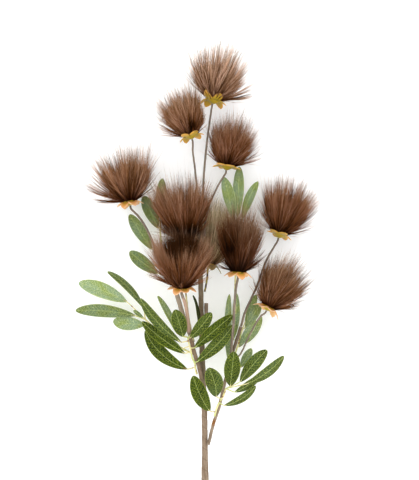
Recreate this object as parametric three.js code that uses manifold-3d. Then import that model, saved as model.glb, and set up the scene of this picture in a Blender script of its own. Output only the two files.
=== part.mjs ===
// Artificial bottlebrush spray: brown fibre tufts on bound wire stems, with leafy sprigs, laid on a surface.
// Millimetres. +Y runs from the cut end of the stem to the top tuft, +X is to the right of a viewer who looks
// down on the spray, and +Z is up from the surface.

import * as THREE from 'three';
import { mergeVertices } from 'three/addons/utils/BufferGeometryUtils.js';
import Module from 'manifold-3d';

const wasm = await Module();
wasm.setup();

// Driving dimensions
const GAP = 0.3; // between two pieces that touch
const STEM_END = 3; // the last of a head's stem runs straight along the head's axis
const CUP_HEIGHT = 6; // calyx cup, from the stem's end to the fibres
const CUP_RADIUS = 9;
const CUP_FOOT_RADIUS = 2.2;
const CUP_SHOULDER = { radius: 6.6, below: 3.2 }; // below the rim
const CUP_SIDES = 7;
const SEPALS = 6;
const SEPAL_ROOT = 0.45; // where a sepal starts, as a share of the cup's radius
const SEPAL_LENGTH = 12.5;
const SEPAL_LENGTHS = [0.85, 1.1]; // shortest and longest, of that length
const SEPAL_HALF_WIDTH = 5.2; // halfway along
const SEPAL_ROOT_WIDTH = 0.6; // at the root, as a share of that
const SEPAL_HALF_THICKNESS = 0.96; // at the root
const SEPAL_BELOW_RIM = 2;
const SEPAL_DROOPS = [1.5, 9]; // how far a sepal's point bends down, least and most
const SEPAL_TURN = 0.25; // how unevenly they stand round the cup, as a share of their spacing
const SEPAL_REACH = 17.5; // from the axis to the tip of a sepal, with room round it
const SEPAL_ROOM = 6; // how far below the rim that room starts
const NEEDLES = 70; // locks of fibre in a tuft
const NEEDLE_ROOT = 1.4; // radius of a lock, which ends in a point
const NEEDLE_CLEARANCE = 0.6; // from a lock to anything that isn't its own tuft
const BEND_MARGIN = 0.05; // how much further than that a lock is bent
const BEND_LEVER = 0.3; // a lock that is touched nearer to its root than this share bends as if touched there
const BEND_PASSES = 12; // after which a lock that still isn't clear is left out
const DOME_SHARE = 0.78; // share of the locks that end on the domed top; the others end round the side
const RIM_DROP = 0.36; // how far the rim lies below the top of the dome, as a share of the reach
const STRAY_WIDER = 1.12; // how much wider than the rim the lowest locks reach
const LOWEST_LOCK = 0.16; // height of the lowest lock's end, as a share of the reach
const LOCK_LENGTHS = [0.94, 1.02]; // shortest and longest, of the full length
const ROOT_SPREAD = 0.3; // how far out a lock starts, as a share of how far out it ends
const ROOT_HEIGHT = 4; // how high the lowest locks start, inside the core
const ROOT_RISE = 0.08; // how much higher the others start, as a share of the height of their ends
const CORE_SIDES = 8;
const CORE_MIDDLE = [0.28, 0.5]; // where the core is widest, as shares of the reach
const CORE_ROOM = 0.62; // room that a core takes round its axis, as a share of the spread
const HEAD_MIDDLE = [8, 0.75]; // from this height to this share of the reach the axis keeps others off
const LEAF_THICKNESS = 0.8;
const LEAF_STATIONS = [0, 0.22, 0.5, 0.76, 0.93, 1]; // along the blade
const LEAF_WIDEST = 1.2; // over 1, the widest place lies nearer to the tip
const LEAF_FULLNESS = 0.5; // under 1, the blade stays wide for longer
const LEAF_FOOT_WIDTH = 0.12; // at its base, of the full width
const LEAF_TIP_WIDTH = 0.1; // at its tip
const LEAF_ARCH = 0.07; // how far the blade arches, as a share of its length
const LEAF_CUP = 0.16; // how far its edges turn up, as a share of the half width
const LEAF_ROOM = 0.4; // room that a blade takes round its middle line, as a share of its width
const LEAF_SPINE = [0.05, 0.3, 0.5, 0.7, 0.95]; // points of that line
const PETIOLE_WIDTH = 1.7;
const PETIOLE_THICKNESS = 1.2;
const STALK_RADIUS = 1.2;
const STALK_TIP_RADIUS = 1;
const MAIN_MESH = { sides: 8, steps: 18 };
const BRANCH_MESH = { sides: 7, steps: 8 };
const WIRE_MESH = { sides: 5, steps: 9 };
const STALK_MESH = { sides: 5, steps: 7 };
const GOLDEN_ANGLE = Math.PI * (3 - Math.sqrt(5));
const SEED = 20;

// Profile of a tuft's inner core as shares of its spread and reach, from the calyx to the top
const CORE_PROFILE = [[0, 0], [0.24, 0], [0.42, 0.14], [0.56, 0.42], [0.44, 0.64], [0, 0.72]];

// Flower heads: where the fibres leave the calyx, how the axis leans to the right and rises off level in
// degrees, the half width of the tuft and its length along the axis
const HEADS = [
  { name: 'top', base: [10.4, 553.4, 46], lean: 13, rise: -4, spread: 41, reach: 69 },
  { name: 'second', base: [-17.4, 510.8, 56], lean: -17, rise: 4, spread: 33, reach: 62 },
  { name: 'third', base: [26.4, 474, 42], lean: 9, rise: -4, spread: 32, reach: 62 },
  { name: 'left', base: [-91, 431.5, 34], lean: -7, rise: -3, spread: 43, reach: 70 },
  { name: 'upper_centre', base: [-23.4, 386, 70], lean: -4, rise: 8, spread: 39, reach: 75 },
  { name: 'lower_centre', base: [-27.6, 329.2, 94], lean: 0, rise: 16, spread: 43, reach: 72 },
  { name: 'right_centre', base: [39.6, 347.3, 80], lean: 3, rise: 6, spread: 33, reach: 72 },
  { name: 'upper_right', base: [90, 392.4, 34], lean: 15, rise: -3, spread: 38, reach: 67 },
  { name: 'lower_right', base: [76.8, 304.8, 46], lean: 28, rise: 0, spread: 34, reach: 68 },
  { name: 'hidden', base: [4.8, 356.4, 27], lean: 10, rise: -2, spread: 33, reach: 76 },
];

// Stems: a list of points by hand, and the radius at the first and the last of them. A head's stem ends under
// its calyx, so the last point of its route comes from the head
const MAIN_ROUTE = [
  [1, 0, 4.2], [0, 96, 16], [-0.6, 168, 26], [-2.4, 222, 33], [-3.6, 252, 37], [-4.8, 312, 44],
  [-5.4, 357, 50], [-4, 398, 53.5],
];
const FOOT_RADIUS = 4.2; // the binding is thicker up to FOOT_END
const FOOT_END = 0.26; // share of the route
const FOOT_TAPER = [0.03, 0.05]; // the binding thins from this far before its end to this far past it
const MAIN_RADIUS = 3.3;
const MAIN_TOP_RADIUS = 2.6;
const BRANCHES = [
  { name: 'cut_stub', radii: [2.4, 2.4], route: [[1.7, 272, 39.6], [1.5, 290, 41.6], [1.3, 308, 43.7]] },
  {
    name: 'left_branch',
    radii: [2.4, 2.9],
    route: [
      [-3.6, 213, 37], [-7.6, 232.8, 40.4], [-11.4, 243.6, 41.6], [-13.8, 252, 42.5], [-18, 270, 45],
      [-24, 285.6, 47], [-28.2, 299.3, 49], [-36.6, 329, 50.4],
    ],
  },
  {
    name: 'right_branch',
    radii: [2, 2.1],
    route: [
      [3.9, 137, 25.2], [10.8, 164.6, 28.4], [17, 183, 30.4], [22.9, 208.5, 33.2], [33.6, 249.6, 37.2],
      [43.2, 279.7, 39.4],
    ],
  },
];
const HEAD_STEMS = {
  top: {
    radii: [1.5, 1.2],
    route: [[-4, 398.4, 53.5], [-2.8, 424, 53], [-2.2, 447.6, 52], [1.2, 492, 49.5]],
  },
  second: {
    radii: [1.3, 1.2],
    route: [[-7.6, 386, 55], [-8.6, 405, 56], [-9.4, 440, 55.5], [-12.2, 470.4, 55], [-14.6, 490, 55]],
  },
  third: {
    radii: [1.3, 1.2],
    route: [[-0.5, 388, 55.6], [0.2, 404, 55.8], [4.6, 424, 54], [11.3, 440, 50.5], [17.2, 452, 47]],
  },
  left: {
    radii: [1.8, 1.3],
    route: [
      [-36.9, 329.6, 50.4], [-44.4, 344.4, 50], [-54, 362.4, 49], [-62.4, 380.4, 46], [-70.8, 398.4, 42],
      [-79.8, 412, 38],
    ],
  },
  upper_centre: {
    radii: [1.2, 1.2],
    route: [
      [-13.3, 262, 46.4], [-16, 272, 48.9], [-18.8, 286, 50.5], [-21.2, 302, 53], [-23, 322, 56],
      [-23.2, 344, 59.5], [-22.9, 362, 64.5],
    ],
  },
  lower_centre: {
    radii: [2.2, 1.9],
    route: [[-19, 272, 51.4], [-20.4, 286, 57.6], [-21.8, 298, 68], [-24, 309, 79.5]],
  },
  right_centre: {
    radii: [1.7, 1.5],
    route: [
      [31.1, 246, 40.3], [32.9, 268.8, 51.4], [34.3, 287.2, 59.4], [35.4, 309.1, 67.6], [37.4, 330, 76.4],
    ],
  },
  upper_right: {
    radii: [1.5, 1.2],
    route: [[43.4, 280.2, 39.3], [47.2, 294.5, 37], [54.6, 311.4, 34], [62.6, 329, 32], [74.4, 360.5, 32]],
  },
  lower_right: {
    radii: [1.1, 1.1],
    route: [
      [33.9, 238.5, 37.4], [42, 246, 38], [52.3, 267.2, 40.5], [59.6, 281.3, 42.5], [67.1, 292.4, 44.8],
    ],
  },
  hidden: { radii: [1.3, 1.2], route: [[-0.5, 322, 45.4], [1.2, 330, 42], [2.6, 339, 35]] },
};

// Leafy sprigs: the stalk, and for each leaf where the blade starts and ends, its width, how far its middle
// bows to its right, and its turn about its own length in degrees
const SPRIGS = [
  {
    name: 'sprig_far_left',
    colour: '#93ac70',
    stalk: [[-14.6, 247, 38.9], [-32, 256, 34], [-50, 268, 29], [-62, 279, 26], [-72, 288, 25]],
    leaves: [
      { base: [-94.7, 309.6, 26], tip: [-152.3, 332.4, 20], width: 19, bow: 1, roll: 10 },
      { base: [-84.6, 292.9, 24], tip: [-156.4, 299, 16], width: 16, bow: 4, roll: -14 },
      { base: [-73, 281.8, 22], tip: [-110.9, 285.4, 12], width: 17, bow: 0, roll: -8 },
      { base: [-74.5, 302.5, 30], tip: [-117.5, 346, 34], width: 10, bow: 2, roll: 30 },
      { base: [-75, 290.6, 28], tip: [-86.4, 299.4, 31], width: 5, bow: 0, roll: 0 },
    ],
  },
  {
    name: 'sprig_left_front',
    colour: '#4e6b22',
    stalk: [
      [-9.8, 222.7, 38.6], [-11.4, 228.8, 40.6], [-12.5, 236.5, 43.8], [-15.6, 243, 44.8], [-17.2, 252, 46.4],
      [-20, 262.6, 48.2], [-20.6, 267.1, 49.6],
    ],
    leaves: [
      { base: [-22, 228.8, 43], tip: [-72, 274.8, 36], width: 17, bow: -7, roll: 0 },
      { base: [-24.5, 248, 47], tip: [-75.6, 285.8, 45], width: 14, bow: -3, roll: 12 },
      { base: [-29, 261.6, 51], tip: [-77.5, 313.7, 52], width: 12.5, bow: -3, roll: -12 },
      { base: [-26.4, 268.4, 52], tip: [-35.9, 300.8, 74], width: 18, bow: 0, roll: 6 },
      { base: [-34, 271.8, 44], tip: [-56.9, 316.8, 46], width: 8.5, bow: 0, roll: 30 },
      { base: [-17.4, 266.6, 53], tip: [7.8, 297, 61], width: 15, bow: 1, roll: 0 },
      { base: [-12.5, 254.8, 51], tip: [33, 294, 51], width: 15, bow: -1, roll: 8 },
      { base: [-9.8, 237.6, 48], tip: [33.6, 281.4, 46.5], width: 16, bow: 3, roll: -6 },
      { base: [-8.2, 277, 53.6], tip: [-14.6, 317.6, 51], width: 9, bow: 0, roll: 68 },
      { base: [-28.8, 253.6, 45], tip: [-42, 265.2, 43], width: 4.5, bow: 0, roll: 0 },
    ],
  },
  {
    name: 'sprig_lower_right',
    colour: '#5c7a2c',
    stalk: [
      [11.4, 171.7, 32.6], [13.8, 180.5, 33.4], [16.8, 187.6, 34.4], [19.6, 192.4, 35], [22.2, 197, 35.8],
      [25, 205.2, 37.4],
    ],
    leaves: [
      { base: [5.4, 178.6, 38], tip: [-14.4, 221.4, 66], width: 19, bow: -2, roll: 0 },
      { base: [13.4, 196, 40], tip: [4.3, 231, 62], width: 21, bow: 2, roll: 6 },
      { base: [30.5, 208.8, 42], tip: [34.6, 250.6, 66], width: 19.5, bow: 0, roll: 0 },
      { base: [42.5, 213.8, 43], tip: [74.3, 252, 50], width: 16.5, bow: -1, roll: -8 },
      { base: [49.7, 211.2, 45], tip: [94.6, 244.8, 53], width: 12.5, bow: 3, roll: 8 },
      { base: [36, 201.1, 38], tip: [66, 220.8, 37], width: 10, bow: 1, roll: 16 },
      { base: [23.2, 184.8, 36], tip: [61.2, 208.3, 38], width: 10, bow: 3, roll: 14 },
    ],
  },
  {
    name: 'sprig_upper_left',
    colour: '#5c7a2c',
    stalk: [[-41.6, 337, 47.1], [-46, 352, 42.6], [-51, 372, 34], [-54, 392, 27], [-54, 406, 24]],
    leaves: [
      { base: [-57, 398.4, 22], tip: [-74.4, 436.8, 13], width: 16.5, bow: 0, roll: 6 },
      { base: [-63.6, 372.5, 29], tip: [-91.2, 414.6, 16], width: 15, bow: 0, roll: -6 },
      { base: [-57, 343.6, 37], tip: [-90.7, 370, 28], width: 16, bow: -1, roll: 6 },
      { base: [-53.8, 412, 24], tip: [-51.6, 458, 32], width: 13, bow: 0, roll: 0 },
    ],
  },
  {
    name: 'sprig_upper_right',
    colour: '#5c7a2c',
    stalk: [[35.8, 296, 59.9], [36, 315, 50], [36.5, 345, 43], [37, 374, 40], [37.6, 392, 40], [38, 400, 41]],
    leaves: [
      { base: [33.6, 410, 42], tip: [22.4, 459.6, 38], width: 14.5, bow: 1, roll: 4 },
      { base: [38.8, 411, 41], tip: [41.4, 472.2, 16], width: 13.5, bow: 0, roll: 0 },
      { base: [44.8, 409, 40], tip: [63.6, 454.2, 34], width: 11.5, bow: -1, roll: -14 },
    ],
  },
  {
    name: 'sprig_right_back',
    colour: '#93ac70',
    stalk: [[29.5, 231, 31.9], [34, 241, 27.6], [40, 258, 24], [45, 276, 22.6]],
    leaves: [
      { base: [27.8, 239.4, 27], tip: [29.2, 318.6, 30], width: 9, bow: -2, roll: 10 },
      { base: [34.4, 264, 25], tip: [37.7, 320.2, 32], width: 9.5, bow: 2, roll: -10 },
      { base: [48.4, 285, 20], tip: [61.9, 318, 17], width: 9, bow: 0, roll: 10 },
      { base: [48.4, 278, 24], tip: [67.1, 307.7, 20], width: 12, bow: 1, roll: -10 },
      { base: [41.4, 254.8, 22], tip: [61.2, 287.2, 26], width: 10, bow: 0, roll: -8 },
      { base: [50.9, 259.9, 20], tip: [68.2, 291.6, 18], width: 9, bow: 1, roll: 6 },
      { base: [43.2, 230.4, 24], tip: [56, 253.2, 28], width: 10.5, bow: 0, roll: 0 },
    ],
  },
];

const FIBRE = { color: '#6b4433', roughness: 0.75 };
const SEPAL = { color: '#d08a30', roughness: 0.55 };
const BARK = { color: '#94806f', roughness: 0.8 };
const WIRE = { color: '#4a4438', roughness: 0.7 };
const LEAF_ROUGHNESS = 0.5;

// Small helpers
const vec = (list) => new THREE.Vector3(...list);
const radians = THREE.MathUtils.degToRad;
const between = ([start, end], share) => THREE.MathUtils.lerp(start, end, share);

function seeded(seed) {
  let state = seed;
  return () => {
    state = (state * 1664525 + 1013904223) % 4294967296;
    return state / 4294967296;
  };
}

function axisOf(head) {
  const lean = radians(head.lean);
  const rise = radians(head.rise);
  return vec([Math.sin(lean) * Math.cos(rise), Math.cos(lean) * Math.cos(rise), Math.sin(rise)]);
}

// A point on the head's axis, this far above the foot of the fibres
const headPoint = (head, height) => vec(head.base).addScaledVector(axisOf(head), height);

// Turns the +Y of a shape to the head's axis and moves its foot to the calyx
function seatOnHead(geometry, head) {
  const turn = new THREE.Quaternion().setFromUnitVectors(vec([0, 1, 0]), axisOf(head));
  const place = new THREE.Matrix4().compose(vec(head.base), turn, vec([1, 1, 1]));
  return geometry.applyMatrix4(place);
}

// Moves every vertex of a shape to the point that the rule gives for it
function reshape(geometry, rule) {
  const spots = geometry.attributes.position;
  const spot = new THREE.Vector3();
  for (let i = 0; i < spots.count; i += 1) {
    const moved = rule(spot.fromBufferAttribute(spots, i));
    spots.setXYZ(i, moved.x, moved.y, moved.z);
  }
  return geometry;
}

// Solids and their joins
function toSolid(geometry) {
  const bare = geometry.clone();
  bare.deleteAttribute('normal');
  bare.deleteAttribute('uv');
  const merged = mergeVertices(bare, 1e-5);
  const vertProperties = new Float32Array(merged.attributes.position.array);
  const triVerts = new Uint32Array(merged.index.array);
  return new wasm.Manifold(new wasm.Mesh({ numProp: 3, vertProperties, triVerts }));
}

// Fuses shapes into one body. A scrap that touches nothing is dropped, and a sealed hollow is filled
function fuse(geometries) {
  const joined = wasm.Manifold.union(geometries.map(toSolid)).setTolerance(0.01);
  const bodies = joined.decompose();
  return bodies.reduce((largest, body) => (body.volume() > largest.volume() ? body : largest));
}

function toGeometry(solid) {
  const mesh = solid.getMesh();
  const geometry = new THREE.BufferGeometry();
  geometry.setAttribute('position', new THREE.BufferAttribute(new Float32Array(mesh.vertProperties), 3));
  geometry.setIndex(new THREE.BufferAttribute(new Uint32Array(mesh.triVerts), 1));
  return geometry;
}

// A round stem along a smooth line through the points, with the radius that the rule gives along it
function tube(points, radiusAt, { sides, steps }) {
  const curve = new THREE.CatmullRomCurve3(points, false, 'centripetal');
  const frames = curve.computeFrenetFrames(steps, false);
  const straight = new THREE.CylinderGeometry(1, 1, 1, sides, steps);
  return reshape(straight, (spot) => {
    const share = spot.y + 0.5;
    const ring = Math.round(share * steps);
    const radius = radiusAt(share);
    return curve
      .getPointAt(THREE.MathUtils.clamp(share, 0, 1))
      .addScaledVector(frames.normals[ring], spot.z * radius)
      .addScaledVector(frames.binormals[ring], spot.x * radius);
  });
}

const steady = (radii) => (share) => between(radii, share);

function mainRadius(share) {
  const foot = THREE.MathUtils.smoothstep(share, FOOT_END - FOOT_TAPER[0], FOOT_END + FOOT_TAPER[1]);
  const shaft = THREE.MathUtils.lerp(MAIN_RADIUS, MAIN_TOP_RADIUS, share);
  return THREE.MathUtils.lerp(FOOT_RADIUS, shaft, foot);
}

// Leaves
function leafFrame(leaf) {
  const base = vec(leaf.base);
  const along = vec(leaf.tip).sub(base);
  const length = along.length();
  along.normalize();
  const side = new THREE.Vector3().crossVectors(along, vec([0, 0, 1])).normalize();
  side.applyAxisAngle(along, radians(leaf.roll));
  const face = new THREE.Vector3().crossVectors(side, along);
  return { base, along, side, face, length };
}

function leafWidthShare(share) {
  const swell = Math.sin(Math.PI * share ** LEAF_WIDEST) ** LEAF_FULLNESS;
  return Math.max(swell, share < 0.5 ? LEAF_FOOT_WIDTH : LEAF_TIP_WIDTH);
}

// A point of the blade: share runs from base to tip, across from -1 to 1 and lift off the middle layer
function leafPoint(leaf, frame, share, across, lift) {
  const middle = 4 * share * (1 - share);
  const half = 0.5 * leaf.width * leafWidthShare(share);
  const arch = LEAF_ARCH * frame.length * middle;
  const cup = LEAF_CUP * half * Math.abs(across);
  return frame.base
    .clone()
    .addScaledVector(frame.along, frame.length * share)
    .addScaledVector(frame.side, half * across + leaf.bow * middle)
    .addScaledVector(frame.face, arch + cup + lift);
}

// The blade with its petiole, which starts inside the stalk
function leafShape(leaf, stalkPoints) {
  const frame = leafFrame(leaf);
  const foot = leafPoint(leaf, frame, 0, 0, 0);
  const start = stalkPoints.reduce((near, p) => (p.distanceTo(foot) < near.distanceTo(foot) ? p : near));
  const flat = new THREE.BoxGeometry(1, 1, 1, 2, LEAF_STATIONS.length, 1);
  return reshape(flat, (spot) => {
    const station = Math.round((spot.y + 0.5) * LEAF_STATIONS.length) - 1;
    if (station < 0) {
      return start
        .clone()
        .addScaledVector(frame.side, spot.x * PETIOLE_WIDTH)
        .addScaledVector(frame.face, spot.z * PETIOLE_THICKNESS);
    }
    return leafPoint(leaf, frame, LEAF_STATIONS[station], 2 * spot.x, spot.z * LEAF_THICKNESS);
  });
}

function sprig(plan) {
  const points = plan.stalk.map(vec);
  const line = smoothPoints(points, STALK_MESH.steps * 3);
  const leaves = plan.leaves.map((leaf) => leafShape(leaf, line));
  return fuse([tube(points, steady([STALK_RADIUS, STALK_TIP_RADIUS]), STALK_MESH), ...leaves]);
}

// Calyx: a cup with pointed sepals round its rim, some out and some folded back
function sepal(turn, droop, length) {
  const spindle = new THREE.ConeGeometry(1, 1, 4, 2);
  const outward = vec([Math.cos(turn), 0, Math.sin(turn)]);
  const sideways = vec([-Math.sin(turn), 0, Math.cos(turn)]);
  return reshape(spindle, (spot) => {
    const share = spot.y + 0.5;
    const reach = CUP_RADIUS * SEPAL_ROOT + length * share;
    const drop = SEPAL_BELOW_RIM + droop * share * share;
    const half = SEPAL_HALF_WIDTH * (share < 0.25 ? SEPAL_ROOT_WIDTH : 2); // halfway the cone is half as wide
    return vec([0, spot.z * SEPAL_HALF_THICKNESS - drop, 0])
      .addScaledVector(outward, reach)
      .addScaledVector(sideways, spot.x * half);
  });
}

function calyx(head, order) {
  const random = seeded(SEED + order);
  const profile = [
    [0, -CUP_HEIGHT], [CUP_FOOT_RADIUS, -CUP_HEIGHT], [CUP_SHOULDER.radius, -CUP_SHOULDER.below],
    [CUP_RADIUS, -GAP], [0, -GAP],
  ];
  const cup = new THREE.LatheGeometry(profile.map(([r, h]) => new THREE.Vector2(r, h)), CUP_SIDES);
  const parts = [cup];
  for (let i = 0; i < SEPALS; i += 1) {
    const turn = (2 * Math.PI * (i + SEPAL_TURN * random())) / SEPALS;
    const droop = between(SEPAL_DROOPS, random());
    parts.push(sepal(turn, droop, SEPAL_LENGTH * between(SEPAL_LENGTHS, random())));
  }
  return fuse(parts.map((part) => seatOnHead(part, head)));
}

// What a tuft's locks have to stay clear of: lines with a thickness round them, and planes towards neighbours
function lineOf(points, radius) {
  const line = [];
  for (let i = 1; i < points.length; i += 1) {
    line.push({ start: points[i - 1], end: points[i], radius });
  }
  return line;
}

const headSegment = (head, from, to) => ({ start: headPoint(head, from), end: headPoint(head, to) });
const headMiddle = (head) => headSegment(head, HEAD_MIDDLE[0], head.reach * HEAD_MIDDLE[1]);

// Shares along two segments at which they come nearest to each other
function nearestShares(a, b) {
  const alongA = a.end.clone().sub(a.start);
  const alongB = b.end.clone().sub(b.start);
  const apart = a.start.clone().sub(b.start);
  const aa = alongA.dot(alongA);
  const bb = alongB.dot(alongB);
  const ab = alongA.dot(alongB);
  const flat = Math.max(aa * bb - ab * ab, 1e-9);
  const clamp = (value) => THREE.MathUtils.clamp(value, 0, 1);
  let onA = clamp((ab * alongB.dot(apart) - bb * alongA.dot(apart)) / flat);
  const onB = clamp((ab * onA + alongB.dot(apart)) / bb);
  onA = clamp((ab * onB - alongA.dot(apart)) / aa);
  return [onA, onB];
}

function dividingPlanes(head) {
  const planes = [];
  const own = headMiddle(head);
  for (const other of HEADS.filter((candidate) => candidate !== head)) {
    const theirs = headMiddle(other);
    const [onOwn, onTheirs] = nearestShares(own, theirs);
    const near = own.start.clone().lerp(own.end, onOwn);
    const far = theirs.start.clone().lerp(theirs.end, onTheirs);
    const share = head.spread / (head.spread + other.spread);
    planes.push({ point: near.clone().lerp(far, share), normal: far.sub(near).normalize() });
  }
  return planes;
}

// Bends a lock clear of its surroundings, or gives null where it can't be
function bendClear(root, tip, lines, planes) {
  const lock = { start: root, end: tip };
  for (let pass = 0; pass < BEND_PASSES; pass += 1) {
    let clear = true;
    for (const line of lines) {
      const [onLock, onLine] = nearestShares(lock, line);
      const here = lock.start.clone().lerp(lock.end, onLock);
      const away = here.sub(line.start.clone().lerp(line.end, onLine));
      const room = line.radius + NEEDLE_CLEARANCE + NEEDLE_ROOT * (1 - onLock);
      const lack = room - away.length();
      if (lack > 0) {
        clear = false;
        tip.addScaledVector(away.normalize(), (lack + BEND_MARGIN) / Math.max(onLock, BEND_LEVER));
      }
    }
    for (const plane of planes) {
      const beyond = tip.clone().sub(plane.point).dot(plane.normal) + NEEDLE_CLEARANCE;
      if (beyond > 0) {
        clear = false;
        tip.addScaledVector(plane.normal, -beyond - BEND_MARGIN);
      }
    }
    tip.z = Math.max(tip.z, 0);
    if (clear) {
      return tip;
    }
  }
  return null;
}

function needle(root, tip) {
  const middle = root.clone().add(tip).multiplyScalar(0.5);
  const along = tip.clone().sub(root);
  const turn = new THREE.Quaternion().setFromUnitVectors(vec([0, 1, 0]), along.clone().normalize());
  const spike = new THREE.ConeGeometry(NEEDLE_ROOT, along.length(), 3, 1);
  return spike.applyMatrix4(new THREE.Matrix4().compose(middle, turn, vec([1, 1, 1])));
}

// Where a lock ends, on the axis +Y: share 0 is the top of the dome, 1 the lowest lock at the side
function lockEnd(head, share, turn) {
  const dome = Math.min(share / DOME_SHARE, 1);
  const side = Math.max((share - DOME_SHARE) / (1 - DOME_SHARE), 0);
  const rim = Math.sqrt(dome);
  const radius = head.spread * rim * THREE.MathUtils.lerp(1, STRAY_WIDER, side);
  const rimHeight = 1 - RIM_DROP * rim * rim;
  const height = head.reach * THREE.MathUtils.lerp(rimHeight, LOWEST_LOCK, side);
  return vec([radius * Math.cos(turn), height, radius * Math.sin(turn)]);
}

function tuft(head, order, lines) {
  const random = seeded(SEED * 7 + order);
  const planes = dividingPlanes(head);
  const profile = CORE_PROFILE.map(([r, h]) => new THREE.Vector2(r * head.spread, h * head.reach));
  const parts = [seatOnHead(new THREE.LatheGeometry(profile, CORE_SIDES), head)];
  const turnToHead = new THREE.Quaternion().setFromUnitVectors(vec([0, 1, 0]), axisOf(head));
  for (let i = 0; i < NEEDLES; i += 1) {
    const share = (i + 0.5) / NEEDLES;
    const end = lockEnd(head, share, i * GOLDEN_ANGLE).multiplyScalar(between(LOCK_LENGTHS, random()));
    const start = vec([end.x * ROOT_SPREAD, ROOT_HEIGHT + end.y * ROOT_RISE, end.z * ROOT_SPREAD]);
    const root = start.applyQuaternion(turnToHead).add(vec(head.base));
    const tip = bendClear(root, end.applyQuaternion(turnToHead).add(vec(head.base)), lines, planes);
    if (tip) {
      parts.push(needle(root, tip));
    }
  }
  return fuse(parts);
}

// The spray
const spray = new THREE.Group();

function addPiece(name, solid, look) {
  const material = new THREE.MeshStandardMaterial({ metalness: 0, ...look });
  const mesh = new THREE.Mesh(toGeometry(solid), material);
  mesh.name = name;
  spray.add(mesh);
}

function smoothPoints(points, count) {
  return new THREE.CatmullRomCurve3(points, false, 'centripetal').getSpacedPoints(count);
}

const obstacles = [];
const mainPoints = MAIN_ROUTE.map(vec);
addPiece('main_stem', toSolid(tube(mainPoints, mainRadius, MAIN_MESH)), BARK);
obstacles.push(...lineOf(smoothPoints(mainPoints, MAIN_MESH.steps), MAIN_RADIUS));

for (const { name, radii, route } of BRANCHES) {
  const points = route.map(vec);
  addPiece(name, toSolid(tube(points, steady(radii), BRANCH_MESH)), BARK);
  obstacles.push(...lineOf(smoothPoints(points, BRANCH_MESH.steps), radii[1]));
}

for (const head of HEADS) {
  const { radii, route } = HEAD_STEMS[head.name];
  const underCup = [STEM_END, 0].map((back) => headPoint(head, -CUP_HEIGHT - GAP - back));
  const points = [...route.map(vec), ...underCup];
  addPiece(`stem_${head.name}`, toSolid(tube(points, steady(radii), WIRE_MESH)), WIRE);
  obstacles.push(...lineOf(smoothPoints(points, WIRE_MESH.steps), radii[0]));
}

for (const plan of SPRIGS) {
  addPiece(plan.name, sprig(plan), { color: plan.colour, roughness: LEAF_ROUGHNESS });
  obstacles.push(...lineOf(smoothPoints(plan.stalk.map(vec), STALK_MESH.steps), STALK_RADIUS));
  for (const leaf of plan.leaves) {
    const frame = leafFrame(leaf);
    const spine = LEAF_SPINE.map((share) => leafPoint(leaf, frame, share, 0, 0));
    obstacles.push(...lineOf(spine, LEAF_ROOM * leaf.width));
  }
}

HEADS.forEach((head, order) => {
  addPiece(`calyx_${head.name}`, calyx(head, order), SEPAL);
  const others = HEADS.filter((candidate) => candidate !== head);
  const cups = others.map((other) => ({ ...headSegment(other, -SEPAL_ROOM, -GAP), radius: SEPAL_REACH }));
  const cores = others.map((other) => ({
    ...headSegment(other, other.reach * CORE_MIDDLE[0], other.reach * CORE_MIDDLE[1]),
    radius: other.spread * CORE_ROOM,
  }));
  addPiece(`tuft_${head.name}`, tuft(head, order, [...obstacles, ...cups, ...cores]), FIBRE);
});

// The spray's origin is the middle of its box, on the surface
const box = new THREE.Box3().setFromObject(spray);
const middle = box.getCenter(new THREE.Vector3());
spray.position.set(-middle.x, -middle.y, -box.min.z);

export default spray;
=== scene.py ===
# Artificial bottlebrush spray: ten brown fibre tufts on bound wire stems, with six leafy sprigs.
# It lies on a pale floor with its cut end towards -Y, and the camera looks straight down on it.

import math
from functools import partial

import bpy
import numpy as np
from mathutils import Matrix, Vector


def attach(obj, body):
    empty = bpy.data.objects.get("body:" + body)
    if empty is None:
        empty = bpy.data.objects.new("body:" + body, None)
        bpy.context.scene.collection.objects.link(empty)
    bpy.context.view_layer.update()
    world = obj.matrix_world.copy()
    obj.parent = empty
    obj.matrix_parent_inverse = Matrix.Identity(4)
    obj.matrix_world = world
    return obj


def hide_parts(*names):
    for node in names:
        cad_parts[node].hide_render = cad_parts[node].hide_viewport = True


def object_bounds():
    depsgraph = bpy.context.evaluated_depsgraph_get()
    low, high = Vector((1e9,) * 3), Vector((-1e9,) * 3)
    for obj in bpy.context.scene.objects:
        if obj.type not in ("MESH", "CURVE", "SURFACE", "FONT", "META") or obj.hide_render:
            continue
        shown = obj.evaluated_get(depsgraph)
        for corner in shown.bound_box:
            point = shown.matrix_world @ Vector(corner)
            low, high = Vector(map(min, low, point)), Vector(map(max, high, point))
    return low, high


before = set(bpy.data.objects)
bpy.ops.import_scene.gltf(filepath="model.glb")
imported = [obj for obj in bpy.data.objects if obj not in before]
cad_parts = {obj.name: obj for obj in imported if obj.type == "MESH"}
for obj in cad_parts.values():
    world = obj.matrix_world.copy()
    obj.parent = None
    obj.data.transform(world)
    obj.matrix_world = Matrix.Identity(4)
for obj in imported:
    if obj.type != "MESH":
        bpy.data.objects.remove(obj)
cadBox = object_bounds()
bpy.ops.object.select_all(action="DESELECT")
print("frame loaded,", len(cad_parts), "nodes")

# All plans are in millimetres from the cut end of the stem. This brings them into the row frame
planOrigin = np.array([10.82, -310.98, 0.0])
up = np.array([0.0, 0.0, 1.0])
goldenAngle = math.pi * (3 - math.sqrt(5))


# Small helpers
def toRow(spots):
    return (spots + planOrigin) / 1000


def between(limits, share):
    return limits[0] + (limits[1] - limits[0]) * share


def unit(rows):
    return rows / np.linalg.norm(rows, axis=-1, keepdims=True)


def drawFrom(seed):  # the draw that the solids use too, so that the sepals stand where theirs do
    while True:
        seed = (seed * 1664525 + 1013904223) % 2**32
        yield seed / 2**32


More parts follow.
